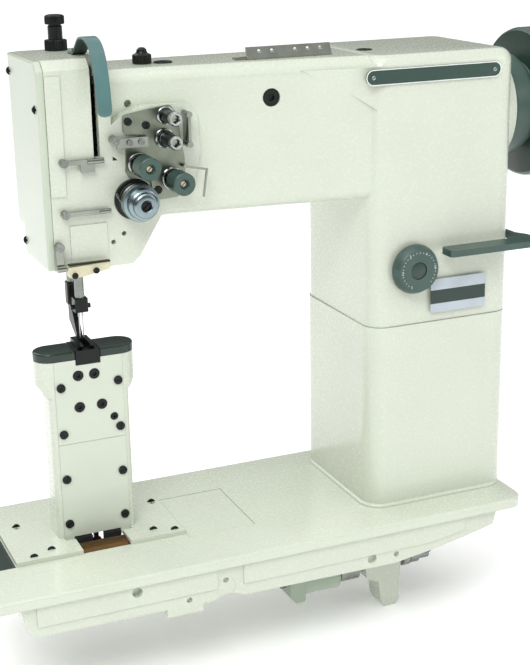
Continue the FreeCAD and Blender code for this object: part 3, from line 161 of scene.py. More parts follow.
def metal(name, colour, rough=0.25, brushed=(1, 1, 1), marks=0.3, edge=0.25):
    """Ground or plated metal with fine tool marks and slightly uneven gloss."""
    steel = Shader(name)
    tone = steel.noise(70, 4)
    steel.feed("Base Color", steel.ramp(tone, [(0.3, shade(colour, 0.82)), (0.6, colour),
                                               (0.8, shade(colour, 1.08))]))
    steel.set(Metallic=1.0)
    steel.feed("Roughness", steel.spread(steel.noise(900, 3, 0.6, brushed), rough - 0.08, rough + 0.12))
    steel.relief([(steel.noise(1500, 2, 0.6, brushed), marks, 0.02)], edge)
    return steel.material


def blacking(name, colour, rough=0.34, edge=0.3):
    """Black oxide or dark paint with an oily sheen and worn, paler patches."""
    black = Shader(name)
    wear = black.noise(240, 5, 0.65)
    black.feed("Base Color", black.ramp(wear, [(0.35, colour), (0.6, shade(colour, 1.3)),
                                               (0.8, shade(colour, 2.2))]))
    black.set(Specular_IOR_Level=0.22, Coat_Weight=0.08, Coat_Roughness=0.15)
    black.feed("Roughness", black.spread(black.noise(500, 3), rough - 0.08, rough + 0.14))
    black.relief([(black.noise(1300, 3), 0.25, 0.03)], edge)
    return black.material


def moulded(name, colour, rough=0.36, grain=0.3, edge=0.4):
    """Satin plastic or smooth enamel with a fine grain."""
    plastic = Shader(name)
    tone = plastic.noise(40, 3)
    plastic.feed("Base Color", plastic.ramp(tone, [(0.3, shade(colour, 0.9)), (0.55, colour),
                                                   (0.8, shade(colour, 1.1))]))
    plastic.set(Specular_IOR_Level=0.5, Coat_Weight=0.15, Coat_Roughness=0.25)
    plastic.feed("Roughness", plastic.spread(plastic.noise(600, 2), rough - 0.05, rough + 0.1))
    plastic.relief([(plastic.noise(1700, 2), grain, 0.025)], edge)
    return plastic.material


CREAM = enamel("cream_enamel", (0.60, 0.645, 0.54))
CREAM_SMOOTH = enamel("cream_cover_enamel", (0.60, 0.65, 0.55), rough=0.3, hammered=0.22, edge=0.4)
# A darker, greener copy of the cream: painted shade on the left-facing face plate.
FACE_PLATE_SHADE = enamel("face_plate_painted_shade_enamel", (0.50, 0.56, 0.455), rough=0.3, hammered=0.3, edge=0.6)
GREY_GREEN = enamel("grey_green_enamel", (0.36, 0.44, 0.34), rough=0.34, hammered=0.35)
DARK_COVER = moulded("dark_cover_enamel", (0.006, 0.022, 0.014), rough=0.2, grain=0.12, edge=0.8)
BLACK = blacking("black_oxide", (0.006, 0.008, 0.007), rough=0.28)
STEEL = metal("ground_steel", (0.27, 0.29, 0.27), rough=0.26)
CHROME = metal("bright_nickel", (0.42, 0.45, 0.45), rough=0.13, marks=0.25)
GUIDE_STEEL = metal("guide_steel", (0.30, 0.32, 0.28), rough=0.12, marks=0.9)
SATIN = metal("satin_nickel", (0.25, 0.28, 0.22), rough=0.3, marks=0.35)
BLUE_STEEL = metal("regulator_plate", (0.27, 0.34, 0.36), rough=0.22, marks=0.4, edge=0.0)
BRONZE = metal("oiled_bronze", (0.13, 0.075, 0.032), rough=0.34, brushed=(0.05, 1, 1), marks=0.5)
BRASS = metal("brass_tip", (0.50, 0.46, 0.34), rough=0.25)
TEAL = moulded("grey_teal_enamel", (0.041, 0.082, 0.068), rough=0.32)
GUARD_TEAL = moulded("guard_enamel", (0.085, 0.180, 0.178), rough=0.3)
# A darker copy of the teal paint: painted shade on the handwheel's face and web and on the guard's inner
# side, and the colour of the dial's centre.
TEAL_DARK_AND_SHADE = moulded("dark_teal_and_painted_shade_enamel", (0.018, 0.045, 0.032), rough=0.3)
IVORY = moulded("ivory_enamel", (0.60, 0.58, 0.40), rough=0.35)
RUBBER = blacking("belt_rubber", (0.018, 0.018, 0.018), rough=0.7, edge=0.0)
PLATE_GREEN = moulded("nameplate_enamel", (0.018, 0.055, 0.04), rough=0.3, grain=0.1)
LABEL_PALE = moulded("label_foil", (0.46, 0.52, 0.56), rough=0.4, grain=0.1, edge=0.0)
LABEL_DARK = moulded("label_band", (0.012, 0.035, 0.025), rough=0.4, grain=0.1, edge=0.0)
INK_WHITE = moulded("white_filling", (0.80, 0.84, 0.82), rough=0.6, grain=0.1, edge=0.0)


# ---------------------------------------------------------------- building
def smooth_group():
    """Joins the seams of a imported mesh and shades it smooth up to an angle."""
    group = bpy.data.node_groups.new("smooth_by_angle", "GeometryNodeTree")
    group.interface.new_socket("Geometry", in_out="INPUT", socket_type="NodeSocketGeometry")
    group.interface.new_socket("Geometry", in_out="OUTPUT", socket_type="NodeSocketGeometry")
    nodes, link = group.nodes, group.links.new
    source, result = nodes.new("NodeGroupInput"), nodes.new("NodeGroupOutput")
    merge = nodes.new("GeometryNodeMergeByDistance")
    merge.inputs["Distance"].default_value = 1e-6
    smooth = nodes.new("GeometryNodeSetShadeSmooth")
    angle = nodes.new("GeometryNodeInputMeshEdgeAngle")
    wide = nodes.new("FunctionNodeCompare")
    wide.operation = "GREATER_THAN"
    wide.inputs[1].default_value = SMOOTH_ANGLE
    sharp = nodes.new("GeometryNodeSetShadeSmooth")
    sharp.domain = "EDGE"
    sharp.inputs["Shade Smooth"].default_value = False
    link(source.outputs[0], merge.inputs["Geometry"])
    link(merge.outputs["Geometry"], smooth.inputs["Geometry"])
    link(smooth.outputs["Geometry"], sharp.inputs["Geometry"])
    link(angle.outputs["Unsigned Angle"], wide.inputs[0])
    link(wide.outputs[0], sharp.inputs["Selection"])
    link(sharp.outputs["Geometry"], result.inputs[0])
    return group


SMOOTH = smooth_group()


def repaint(finish, *names):
    """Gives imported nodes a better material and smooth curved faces."""
    for name in names:
        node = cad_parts[name]
        if "custom_normal" in node.data.attributes:
            node.data.attributes.remove(node.data.attributes["custom_normal"])
        node.data.materials.clear()
        node.data.materials.append(finish)
        node.modifiers.new("smooth", "NODES").node_group = SMOOTH


def middle(node):
    low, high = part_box(node)
    return (low + high) / 2


def islands(node):
    """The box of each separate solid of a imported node, from left to right."""
    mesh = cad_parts[node].data
    root = {}

    def find(key):
        while root[key] != key:
            root[key] = root[root[key]]
            key = root[key]
        return key
    keys = [tuple(round(part * 1e6) for part in vertex.co) for vertex in mesh.vertices]
    for key in keys:
        root.setdefault(key, key)
    for face in mesh.polygons:
        first = find(keys[face.vertices[0]])
        for index in face.vertices[1:]:
            root[find(keys[index])] = first
    groups = {}
    for key in root:
        groups.setdefault(find(key), []).append(key)
    boxes = [(Vector([min(part) * 1e-6 for part in zip(*keys)]),
              Vector([max(part) * 1e-6 for part in zip(*keys)]))
             for keys in groups.values()]
    return sorted(boxes, key=lambda box: (round(box[0].x, 4), round(box[0].z, 4), round(box[0].y, 4)))


def turn_to(axis):
    return axis.to_track_quat("Z", "Y").to_matrix().to_4x4()


def add_turned(bm, origin, axis, profile, steps=48, flutes=0, depth=0.0, zone=(0, 0)):
    """A turned shape: profile is (radius, distance along the axis) in mm.

    Between the zone's ends it has flutes, depth mm deep.
    """
    count = flutes * 4 if flutes else steps
    frame_of = Matrix.Translation(origin) @ turn_to(axis)
    rings = []
    for radius, along in profile:
        if radius <= 1e-6:
            rings.append([bm.verts.new(frame_of @ Vector((0, 0, along * MM)))])
            continue
        ring = []
        knurled = flutes and zone[0] <= along <= zone[1]
        for step in range(count):
            angle = math.tau * step / count
            cut = depth * 0.5 * (1 - math.cos(flutes * angle)) if knurled else 0
            size = (radius - cut) * MM
            ring.append(bm.verts.new(frame_of @ Vector((size * math.cos(angle), size * math.sin(angle),
                                                        along * MM))))
        rings.append(ring)
    for first, second in zip(rings, rings[1:]):
        for step in range(count):
            after = (step + 1) % count
            if len(first) == 1 and len(second) == 1:
                continue
            if len(first) == 1:
                bm.faces.new((first[0], second[step], second[after]))
            elif len(second) == 1:
                bm.faces.new((first[step], second[0], first[after]))
            else:
                bm.faces.new((first[step], second[step], second[after], first[after]))


def add_prism(bm, origin, across, up, outline, thick):
    """A plate: outline in mm on two directions, thickened along their cross product."""
    normal = across.cross(up)
    bottom = [bm.verts.new(origin + across * x * MM + up * y * MM) for x, y in outline]
    top = [bm.verts.new(vertex.co + normal * thick * MM) for vertex in bottom]
    bm.faces.new(bottom[::-1])
    bm.faces.new(top)
    for index in range(len(outline)):
        after = (index + 1) % len(outline)
        bm.faces.new((bottom[index], bottom[after], top[after], top[index]))


def add_block(bm, low, high):
    size = high - low
    add_prism(bm, low, RIGHT, BACK, [(0, 0), (size.x / MM, 0), (size.x / MM, size.y / MM),
                                     (0, size.y / MM)], size.z / MM)


def add_tube(bm, points, radius, sides=10):
    """A round wire along points, closed at both ends."""
    rings = []
    side = None
    for index, point in enumerate(points):
        before = points[max(index - 1, 0)]
        after = points[min(index + 1, len(points) - 1)]
        way = (after - before).normalized()
        if side is None:
            side = way.orthogonal().normalized()
        side = (side - way * side.dot(way)).normalized()
        other = way.cross(side)
        spokes = [side * math.cos(math.tau * k / sides) + other * math.sin(math.tau * k / sides)
                  for k in range(sides)]
        rings.append([bm.verts.new(point + spoke * radius * MM) for spoke in spokes])
    for first, second in zip(rings, rings[1:]):
        for k in range(sides):
            bm.faces.new((first[k], first[(k + 1) % sides], second[(k + 1) % sides], second[k]))
    bm.faces.new(rings[0][::-1])
    bm.faces.new(rings[-1])


def add_coil(bm, origin, axis, radius, length, turns, wire):
    """A spring of round wire."""
    frame_of = Matrix.Translation(origin) @ turn_to(axis)
    steps = int(turns * 18)
    points = []
    for step in range(steps + 1):
        share = step / steps
        angle = math.tau * turns * share
        points.append(frame_of @ Vector((radius * MM * math.cos(angle), radius * MM * math.sin(angle),
                                         length * MM * share)))
    add_tube(bm, points, wire, 8)


def arc_outline(radius, start, end, steps):
    return [(radius * math.cos(start + (end - start) * k / steps),
             radius * math.sin(start + (end - start) * k / steps))
            for k in range(steps + 1)]


def add_slotted(bm, origin, axis, radius, high, turn=0.6, slot=0.16, deep=0.45):
    """A screw head with a slot: a low disc with two half discs standing on it."""
    floor = high * (1 - deep)
    add_turned(bm, origin, axis, [(0, 0), (radius, 0), (radius, floor), (0, floor)], 32)
    frame_of = turn_to(axis).to_3x3()
    across = frame_of @ Vector((math.cos(turn), math.sin(turn), 0))
    up = frame_of @ Vector((-math.sin(turn), math.cos(turn), 0))
    gap = math.asin(slot)
    seat = origin + axis * floor * MM
    add_prism(bm, seat, across, up, arc_outline(radius, gap, math.pi - gap, 14), high - floor)
    add_prism(bm, seat, across, up, arc_outline(radius, math.pi + gap, math.tau - gap, 14), high - floor)


def add_socket(bm, origin, axis, radius, high, hexagon, deep):
    """A plug or cap screw with a hexagon socket."""
    frame_of = Matrix.Translation(origin) @ turn_to(axis)
    steps = 36

    def ring(size, along, sides=False):
        made = []
        for step in range(steps):
            angle = math.tau * step / steps
            reach = size
            if sides:
                part = (angle % (math.pi / 3)) - math.pi / 6
                reach = size * math.cos(math.pi / 6) / math.cos(part)
            made.append(bm.verts.new(frame_of @ Vector((reach * MM * math.cos(angle),
                                                        reach * MM * math.sin(angle), along * MM))))
        return made
    rings = [ring(radius, 0), ring(radius, high - 0.35), ring(radius - 0.35, high),
             ring(hexagon, high, True),
             ring(hexagon, high - deep, True)]
    for first, second in zip(rings, rings[1:]):
        for step in range(steps):
            after = (step + 1) % steps
            bm.faces.new((first[step], first[after], second[after], second[step]))
    bm.faces.new(rings[0][::-1])
    bm.faces.new(rings[-1])


def piece(name, bm, body, finish, stands_for=(), bevel=0.15):
    """Turns the built mesh into an object that rides on a body."""
    bmesh.ops.recalc_face_normals(bm, faces=bm.faces[:])
    for face in bm.faces:
        face.smooth = True
    for edge in bm.edges:
        edge.smooth = len(edge.link_faces) == 2 and edge.calc_face_angle(0) < CREASE_ANGLE
    mesh = bpy.data.meshes.new(name)
    bm.to_mesh(mesh)
    bm.free()
    made = bpy.data.objects.new(name, mesh)
    bpy.context.scene.collection.objects.link(made)
    mesh.materials.append(finish)
    if bevel:
        edges = made.modifiers.new("edges", "BEVEL")
        edges.width = bevel * MM
        edges.segments = 2
        edges.limit_method = "ANGLE"
        edges.angle_limit = BEVEL_ANGLE
    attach(made, body)
    if stands_for:
        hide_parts(*stands_for)
    return made


def at(x, y, z):
    """A point whose height is measured from the bed surface, in mm."""
    return Vector((x * MM, y * MM, z * MM + TABLE_LIP))


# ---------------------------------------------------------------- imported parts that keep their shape
repaint(CREAM, "bed_casting", "riser_column", "arm_casting", "bed_bracket", "rear_cover",
        "bed_cover_plate", "post_housing")
repaint(CREAM_SMOOTH, "post_front_cover_upper", "post_front_cover_lower", "post_rear_cover")
# The face plate gets the darker cream: painted shade.
repaint(FACE_PLATE_SHADE, "face_plate")
repaint(GREY_GREEN, "shaft_housing")
repaint(DARK_COVER, "bed_slide_plate", "hook_cover_left", "hook_cover_right")
repaint(BLACK, "throat_plate", "feed_dog", "presser_foot", "pressure_lock_nut", "needle_clamp")
repaint(STEEL, "main_shaft", "take_up_crank", "upper_pulley", "crank_link", "lower_shaft",
        "bevel_gears", "lower_pulley",
        "hook_left", "hook_right", "bobbin_cases", "needle_bar_frame", "needle_bar", "presser_bar",
        "hand_lifter", "regulator_shaft", "take_up_lever")
repaint(CHROME, "needles", "presser_spring")
repaint(GUIDE_STEEL, "thread_guides")
repaint(SATIN, "tension_plate")
repaint(TEAL, "reverse_lever")
repaint(BRONZE, "bushings", "feed_rocker")
repaint(IVORY, "lower_guide_block")
repaint(RUBBER, "timing_belt")
repaint(PLATE_GREEN, "nameplate")


# ---------------------------------------------------------------- screws and plugs
def head_of(low, high, outward):
    """Centre of a screw's outer end and its radius in mm."""
    centre = (low + high) / 2
    size = high - low
    reach = abs(size.dot(outward)) / 2
    along = Vector([abs(part) for part in outward])
    radius = max(abs(part) for part in (size - along * abs(size.dot(outward)))) / 2
    return centre + outward * reach, radius / MM


def make_screws():
    """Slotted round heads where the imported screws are."""
    bm = bmesh.new()
    housing = middle("post_housing")
    for index, (low, high) in enumerate(islands("post_screws")):
        size = high - low
        if size.z > size.y:
            outward, high_head = UP, 1.4
        else:
            outward, high_head = (FRONT if (low.y + high.y) / 2 < housing.y else BACK), 1.6
        tip, radius = head_of(low, high, outward)
        add_slotted(bm, tip - outward * high_head * MM, outward, radius, high_head, turn=0.9 * index)
        if outward is not UP:
            add_turned(bm, tip - outward * high_head * MM, outward,
                       [(0, 0), (radius * 0.55, 0), (radius * 0.5, 0.5)], 16)
    piece("post_screw_heads", bm, "root", BLACK, ["post_screws"])

    bm = bmesh.new()
    for index, (low, high) in enumerate(islands("cover_screws")):
        size = high - low
        outward, high_head = (LEFT, 2.4) if size.x > size.y else (BACK, 2.0)
        tip, radius = head_of(low, high, outward)
        add_slotted(bm, tip - outward * high_head * MM, outward, radius, high_head, turn=0.7 * index)
    piece("cover_screw_heads", bm, "root", BLACK, ["cover_screws"])


def make_plugs():
    """Round plugs with hexagon sockets in the post, the arm front and the arm top."""
    bm = bmesh.new()
    for low, high in islands("plugs"):
        size = high - low
        outward = UP if abs(size.x - size.y) < 0.4 * MM and size.z < size.x * 1.2 else FRONT
        tip, radius = head_of(low, high, outward)
        thick = abs(size.dot(outward)) / MM
        add_socket(bm, tip - outward * thick * MM, outward, radius, thick, radius * 0.42,
                   min(2.4, thick * 0.6))
    piece("socket_plugs", bm, "root", BLACK, ["plugs"])


make_screws()
make_plugs()


# ---------------------------------------------------------------- thread tensions
def facing(node):
    """Centre of a piece's back face, its radius and its length, for pieces that face the front."""
    low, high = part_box(node)
    return Vector(((low.x + high.x) / 2, high.y,
                   (low.z + high.z) / 2)), (high.x - low.x) / 2 / MM, (high.y - low.y) / MM


def make_tension_stack(index, low, high):
    """Discs, spring and slotted stud of one tension."""
    plate_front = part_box("tension_plate")[0].y
    centre = Vector(((low.x + high.x) / 2, plate_front, (low.z + high.z) / 2))
    disc = (high.x - low.x) / 2 / MM
    bm = bmesh.new()
    for side in (0.1, 1.5):
        lift, tip = (0.5, 0.9) if side > 1 else (0, 0)      # the front disc flares to the front
        flare = [(2.8, side), (disc - 3, side), (disc - 0.8, side + lift), (disc, side + 0.2 + tip),
                 (disc - 0.8, side + 0.9 + lift), (disc - 3, side + 0.5), (2.8, side + 0.5)]
        add_turned(bm, centre, FRONT, flare, 56)
    piece("tension_discs_%d" % index, bm, "root", CHROME, bevel=0)
    bm = bmesh.new()
    add_coil(bm, centre + FRONT * 3.0 * MM, FRONT, disc - 3.4, 3.4, 2.5, 0.45)
    piece("tension_spring_%d" % index, bm, "root", STEEL, bevel=0)
    bm = bmesh.new()
    length = (plate_front - low.y) / MM
    add_turned(bm, centre + BACK * 2.4 * MM, FRONT, [(0, 0), (2.7, 0), (2.7, length + 1.0),
                                                     (0, length + 1.0)], 28)
    add_slotted(bm, centre + FRONT * (length - 1.4) * MM, FRONT, 2.5, 1.4, turn=0.9 + index, slot=0.2,
                deep=0.7)
    piece("tension_stud_%d" % index, bm, "root", BRASS, bevel=0.1)


def make_tensions():
    boxes = islands("tension_studs")
    for index, (low, high) in enumerate(boxes):
        make_tension_stack(index, low, high)
    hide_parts("tension_studs")

    for name, body in (("tension_knob_left", "knob_left"), ("tension_knob_right", "knob_right")):
        centre, radius, length = facing(name)
        bm = bmesh.new()
        add_turned(bm, centre, FRONT, [(3.0, 5.2), (radius - 0.6, 5.2), (radius, 5.8),
                                       (radius, length - 1.0), (radius - 1, length),
                                       (4.4, length), (3.6, length - 1.1), (3.6, length - 3.4),
                                       (3.0, length - 3.4), (3.0, 5.2)],
                   flutes=56, depth=0.16, zone=(5.6, length - 1.2))
        piece(name + "_grip", bm, body, TEAL, [name], bevel=0)
        bm = bmesh.new()
        collar = radius - 2
        add_turned(bm, centre, FRONT, [(3.0, 0), (collar - 0.4, 0), (collar, 0.4), (collar, 4.6),
                                       (collar - 0.8, 5.3), (3.0, 5.3), (3.0, 0)],
                   flutes=32, depth=0.5, zone=(0.3, 4.7))
        piece(name + "_collar", bm, body, BLACK, bevel=0)

    for name, body in (("pre_tension_nut_upper", "nut_upper"), ("pre_tension_nut_lower", "nut_lower")):
        centre, radius, length = facing(name)
        bm = bmesh.new()
        waist = length - 7
        add_turned(bm, centre, FRONT, [(3.0, waist - 0.4), (radius - 1.2, waist),
                                       (radius - 1.4, waist + 1), (radius - 0.2, waist + 1.8),
                                       (radius, waist + 2.3), (radius, length - 1.2),
                                       (radius - 1.0, length), (3.5, length),
                                       (3.0, length - 0.6), (3.0, waist - 0.4)],
                   flutes=40, depth=0.35, zone=(waist + 2, length - 1.1))
        piece(name + "_grip", bm, body, CHROME, [name], bevel=0)
        bm = bmesh.new()
        add_turned(bm, centre, FRONT, [(3.0, 0), (radius - 0.9, 0), (radius - 0.4, 0.4),
                                       (radius - 0.4, waist - 1.6), (radius - 1.2, waist - 0.6),
                                       (3.0, waist - 0.5), (3.0, 0)], 40)
        piece(name + "_sleeve", bm, body, BLACK, bevel=0)


def make_check_regulator():
    """The large stepped disc of the check spring, its spring wire and the screw in its middle."""
    low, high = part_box("check_spring_regulator")
    radius = (high.z - low.z) / 2 / MM
    centre = Vector((high.x - radius * MM, high.y, (low.z + high.z) / 2))
    length = (high.y - low.y) / MM
    bm = bmesh.new()
    add_turned(bm, centre, FRONT, [(13.5, 4), (14, 4.2), (14, 16.6), (15.6, 17.6), (16, 18.1),
                                   (16, 20.8), (15.5, 21.4), (13.2, 22),
                                   (13, 22.5), (13, 27.4), (12.6, 28), (10.8, 28.8), (10.5, 29.2),
                                   (10.5, length - 1.4),
                                   (9.6, length - 0.4), (8.6, length), (5.2, length),
                                   (4.4, length - 0.9), (4.4, length - 6),
                                   (0, length - 6)], flutes=96, depth=0.22, zone=(18.0, 20.9))
    piece("check_regulator_disc", bm, "check_regulator", BLUE_STEEL,
          ["check_spring_regulator"], bevel=0)
    bm = bmesh.new()
    add_turned(bm, centre, FRONT, [(0, 0), (radius, 0), (radius, 2.4), (radius - 0.6, 3), (14.6, 3.4),
                                   (14.2, 4.4), (0, 4.4)], 64)
    add_turned(bm, centre, FRONT, [(12, 6.5), (15.2, 6.8), (15.6, 7.4), (15.6, 9.4), (15.2, 10),
                                   (12, 10.3)], 64)
    piece("check_regulator_base", bm, "check_regulator", BLACK, bevel=0)
    bm = bmesh.new()
    add_slotted(bm, centre + FRONT * (length - 5.9) * MM, FRONT, 3.9, 2.6, turn=0.8, slot=0.2, deep=0.5)
    piece("check_regulator_screw", bm, "check_regulator", BLACK)
    bm = bmesh.new()
    add_coil(bm, centre + FRONT * 10.8 * MM, FRONT, 14.7, 3.4, 3, 0.45)
    hook = centre + FRONT * 12 * MM
    points = [hook + Vector((x * MM, y * MM, z * MM)) for x, y, z in
              ((-14.6, 0, 0), (-16.4, 0, 3.4), (-18.4, -0.4, 6.2), (-19.4, -1.0, 8.0),
               (-18.7, -1.8, 8.9), (-17.8, -1.4, 7.8), (-17.2, -0.6, 5.6))]
    add_tube(bm, points, 0.45, 8)
    piece("check_spring_wire", bm, "check_regulator", STEEL, bevel=0)


# Places in mm, heights from the bed surface. A guide screw has x, z, y from the plate's back and its radius.
PLATE_SCREWS = ((34.5, 383.5), (50, 379.5), (58.5, 324.5))
GUIDE_SCREWS = ((-22, 354, -6.7, 3.2), (-23, 311.5, -6.7, 3.2), (-29.8, 285, -6.9, 3.7),
                (21.5, 369.5, -9.1, 3.4), (34, 367, -8.7, 2.6), (44, 367, -8.7, 2.6))
BLOCK_SCREWS = ((-19.6, 261.2), (-1.2, 263.6))


def make_plate_screws():
    """The three screws that hold the tension plate."""
    bm = bmesh.new()
    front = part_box("tension_plate")[0].y
    for index, (x, z) in enumerate(PLATE_SCREWS):
        add_slotted(bm, Vector((x * MM, front + 0.3 * MM, z * MM + TABLE_LIP)), FRONT, 3.3, 1.9,
                    turn=0.5 + index)
    piece("tension_plate_screws", bm, "root", BLACK)


def make_guide_screws():
    """Slotted screws of the thread guides and of the ivory guide block, with its dark cover strip."""
    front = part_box("tension_plate")[1].y + 0.1 * MM
    bm = bmesh.new()
    for index, (x, z, y, size) in enumerate(GUIDE_SCREWS):
        add_slotted(bm, Vector((x * MM, front + (y + 0.4) * MM, z * MM + TABLE_LIP)), FRONT, size, 1.0,
                    turn=0.6 + index)
    piece("guide_screws", bm, "root", STEEL, bevel=0.1)
    low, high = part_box("lower_guide_block")
    bm = bmesh.new()
    for index, (x, z) in enumerate(BLOCK_SCREWS):
        add_slotted(bm, Vector((x * MM, low.y + 0.2 * MM, z * MM + TABLE_LIP)), FRONT, 2.7, 1.1,
                    turn=0.5 + index, slot=0.22)
    piece("guide_block_screws", bm, "root", BLACK, bevel=0.1)
    bm = bmesh.new()
    add_block(bm, Vector((low.x + 0.4 * MM, low.y + 0.3 * MM, high.z - 0.2 * MM)),
              Vector((high.x - 0.4 * MM, low.y + 4.5 * MM, high.z + 1.1 * MM)))
    piece("guide_block_strip", bm, "root", BLACK)


def make_notch_shade_blocks():
    """Dark blocks that close the flange notch behind the bronze sleeve, on both sides of its neck: painted
    shade where the notch shows dark.
    """
    for name, start, end in (("notch_shade_left", -21.5, -5.5), ("notch_shade_right", 5.5, 21.5)):
        bm = bmesh.new()
        add_block(bm, at(start, -17, -8), at(end, -12.2, 3))
        piece(name, bm, "root", RUBBER)


make_tensions()
make_guide_screws()
make_check_regulator()
make_plate_screws()
make_notch_shade_blocks()


# ---------------------------------------------------------------- knobs on the head
def standing(node):
    """Centre of a piece's foot, its radius and its height, for pieces that stand up."""
    low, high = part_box(node)
    return Vector(((low.x + high.x) / 2, (low.y + high.y) / 2,
                   low.z)), (high.x - low.x) / 2 / MM, (high.z - low.z) / MM


def make_top_knobs():
    centre, radius, length = standing("pressure_screw")
    bm = bmesh.new()
    neck = length - 30
    add_turned(bm, centre, UP, [(0, 0), (4.2, 0.4), (4.6, 0.8), (4.6, neck), (6.2, neck + 0.4),
                                (6.2, length - 10),
                                (5.4, length - 9), (5.4, length - 8.2), (radius - 0.6, length - 8),
                                (radius, length - 7.4),
                                (radius, length - 1.6), (radius - 1.2, length - 0.5), (5, length),
                                (0, length)],
               flutes=36, depth=0.7, zone=(length - 7.6, length - 1.4))
    piece("pressure_screw_knob", bm, "pressure_adjuster", BLACK, ["pressure_screw"], bevel=0)

    centre, radius, length = standing("pressure_lock_nut")
    bm = bmesh.new()
    add_turned(bm, centre, UP, [(4.7, 0), (radius - 0.4, 0), (radius, 0.4), (radius, length - 0.6),
                                (radius - 0.6, length), (4.7, length),
                                (4.7, 0)], flutes=44, depth=0.45, zone=(0.3, length - 0.5))
    piece("pressure_nut", bm, "root", BLACK, ["pressure_lock_nut"], bevel=0)

    centre, radius, length = standing("top_knob")
    bm = bmesh.new()
    low = length - 14
    add_turned(bm, centre, UP, [(0, 0), (2.9, 0), (2.9, low + 0.3), (radius - 0.5, low + 0.3),
                                (radius, low + 0.8), (radius, low + 7.4),
                                (radius - 0.8, low + 8), (5.2, low + 9), (4.4, low + 10.5),
                                (4.2, low + 12), (2.6, low + 13.5),
                                (0, length)], flutes=30, depth=0.6, zone=(low + 0.7, low + 7.5))
    piece("thumb_knob", bm, "thumb_knob", BLACK, ["top_knob"], bevel=0)


def smooth_path(points, parts=6):
    """Points along a Catmull-Rom curve."""
    ends = [points[0] * 2 - points[1]] + points + [points[-1] * 2 - points[-2]]
    path = []
    for index in range(len(points) - 1):
        p0, p1, p2, p3 = ends[index:index + 4]
        for step in range(parts):
            t = step / parts
            path.append((p1 * 2 + (p2 - p0) * t + (p0 * 2 - p1 * 5 + p2 * 4 - p3) * t * t
                         + (p1 * 3 - p0 - p2 * 3 + p3) * t ** 3) / 2)
    return path + [points[-1]]


GUARD_DROP = 44         # mm from the guard's foot down to its free end


def make_guard():
    """A smooth bent strip with a rounded lower end over the take-up lever, and a dark sheet just inside it
    that is painted shade on its inner side.
    """
    low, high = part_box("take_up_guard")
    foot = low.z + (GUARD_DROP + 0.1) * MM
    middle_x, half = (low.x + high.x) / 2, (high.x - low.x) / 2 / MM
    route = [Vector((0, y * MM, foot + z * MM)) for y, z in
             ((-3, 1), (-14, 1), (-22, 5.2), (-34, 14), (-48, 16), (-61.5, 12), (-71.2, 1.8),
              (-78, -18), (-81, -38), (-81.3, -43.2))]
    path = smooth_path(route)
    lengths = [0.0]
    for first, second in zip(path, path[1:]):
        lengths.append(lengths[-1] + (second - first).length / MM)
    # The second sheet, just inside the strip, is painted shade.
    for name, side, finish in (("guard_strip", -1, GUARD_TEAL), ("guard_inner_shade", 1, TEAL_DARK_AND_SHADE)):
        bm = bmesh.new()
        rows = []
        for index, point in enumerate(path):
            way = (path[min(index + 1, len(path) - 1)] - path[max(index - 1, 0)]).normalized()
            out = way.cross(RIGHT).normalized()
            left = lengths[-1] - lengths[index]
            wide = half if left > 5 else half - 5 + math.sqrt(max(0.0, 25 - (5 - left) ** 2))
            near, far = (0.15, 1.0) if side < 0 else (-0.9, 0.1)
            rows.append([bm.verts.new(point + RIGHT * (middle_x + x * MM) + out * y * MM)
                         for x, y in ((-wide, near), (wide, near), (wide, far), (-wide, far))])
        for first, second in zip(rows, rows[1:]):
            for index in range(4):
                after = (index + 1) % 4
                bm.faces.new((first[index], first[after], second[after], second[index]))
        bm.faces.new(rows[0][::-1])
        bm.faces.new(rows[-1])
        piece(name, bm, "root", finish, ["take_up_guard"] if side < 0 else (), bevel=0)
    bm = bmesh.new()
    add_slotted(bm, Vector((middle_x, -7 * MM, foot + 2.0 * MM)), UP, 3.4, 2.0)
    piece("guard_screw", bm, "root", BLACK)


make_top_knobs()
make_guard()


# ---------------------------------------------------------------- dial, name plate and label
DIAL_MARKS, DIAL_START, DIAL_SWEEP = 25, -118, 296      # figures and dots, and their angles in degrees


def make_dial():
    centre, radius, length = facing("stitch_dial")
    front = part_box("riser_column")[0].y + 1.5 * MM
    stub = (centre.y - front) / MM
    bm = bmesh.new()
    add_turned(bm, centre, FRONT, [(0, 0), (4.9, 0), (4.9, stub + 0.3), (radius - 0.6, stub + 0.3),
                                   (radius, stub + 0.9),
                                   (radius, length - 6.5), (radius - 0.4, length - 5.8),
                                   (radius - 3.0, length - 0.5),
                                   (radius - 3.6, length), (8.2, length), (8, length - 0.3),
                                   (8, length - 1.5), (0, length - 1.5)],
               flutes=72, depth=0.3, zone=(stub + 0.8, length - 6.4))
    piece("dial_body", bm, "dial", TEAL, ["stitch_dial"], bevel=0)
    bm = bmesh.new()
    add_turned(bm, centre + FRONT * (length - 1.5) * MM, FRONT,
               [(7.7, 0), (7.7, 0.5), (6.8, 0.8), (0, 0.8)], 40)
    piece("dial_centre", bm, "dial", TEAL_DARK_AND_SHADE, bevel=0)
    marks = bmesh.new()
    ring = radius - 6.3
    numbered = {number * 5 - 5: number for number in STROKES}
    for step in range(DIAL_MARKS):
        angle = math.radians(DIAL_START - DIAL_SWEEP / DIAL_MARKS * step)
        place = centre + FRONT * length * MM + Vector((math.cos(angle), 0, math.sin(angle))) * ring * MM
        if step in numbered:
            add_digit(marks, place, numbered[step])
        else:
            add_turned(marks, place, FRONT, [(0, -0.2), (0.38, -0.2), (0.38, 0.08), (0, 0.08)], 10)
    piece("dial_marks", marks, "dial", INK_WHITE, bevel=0)


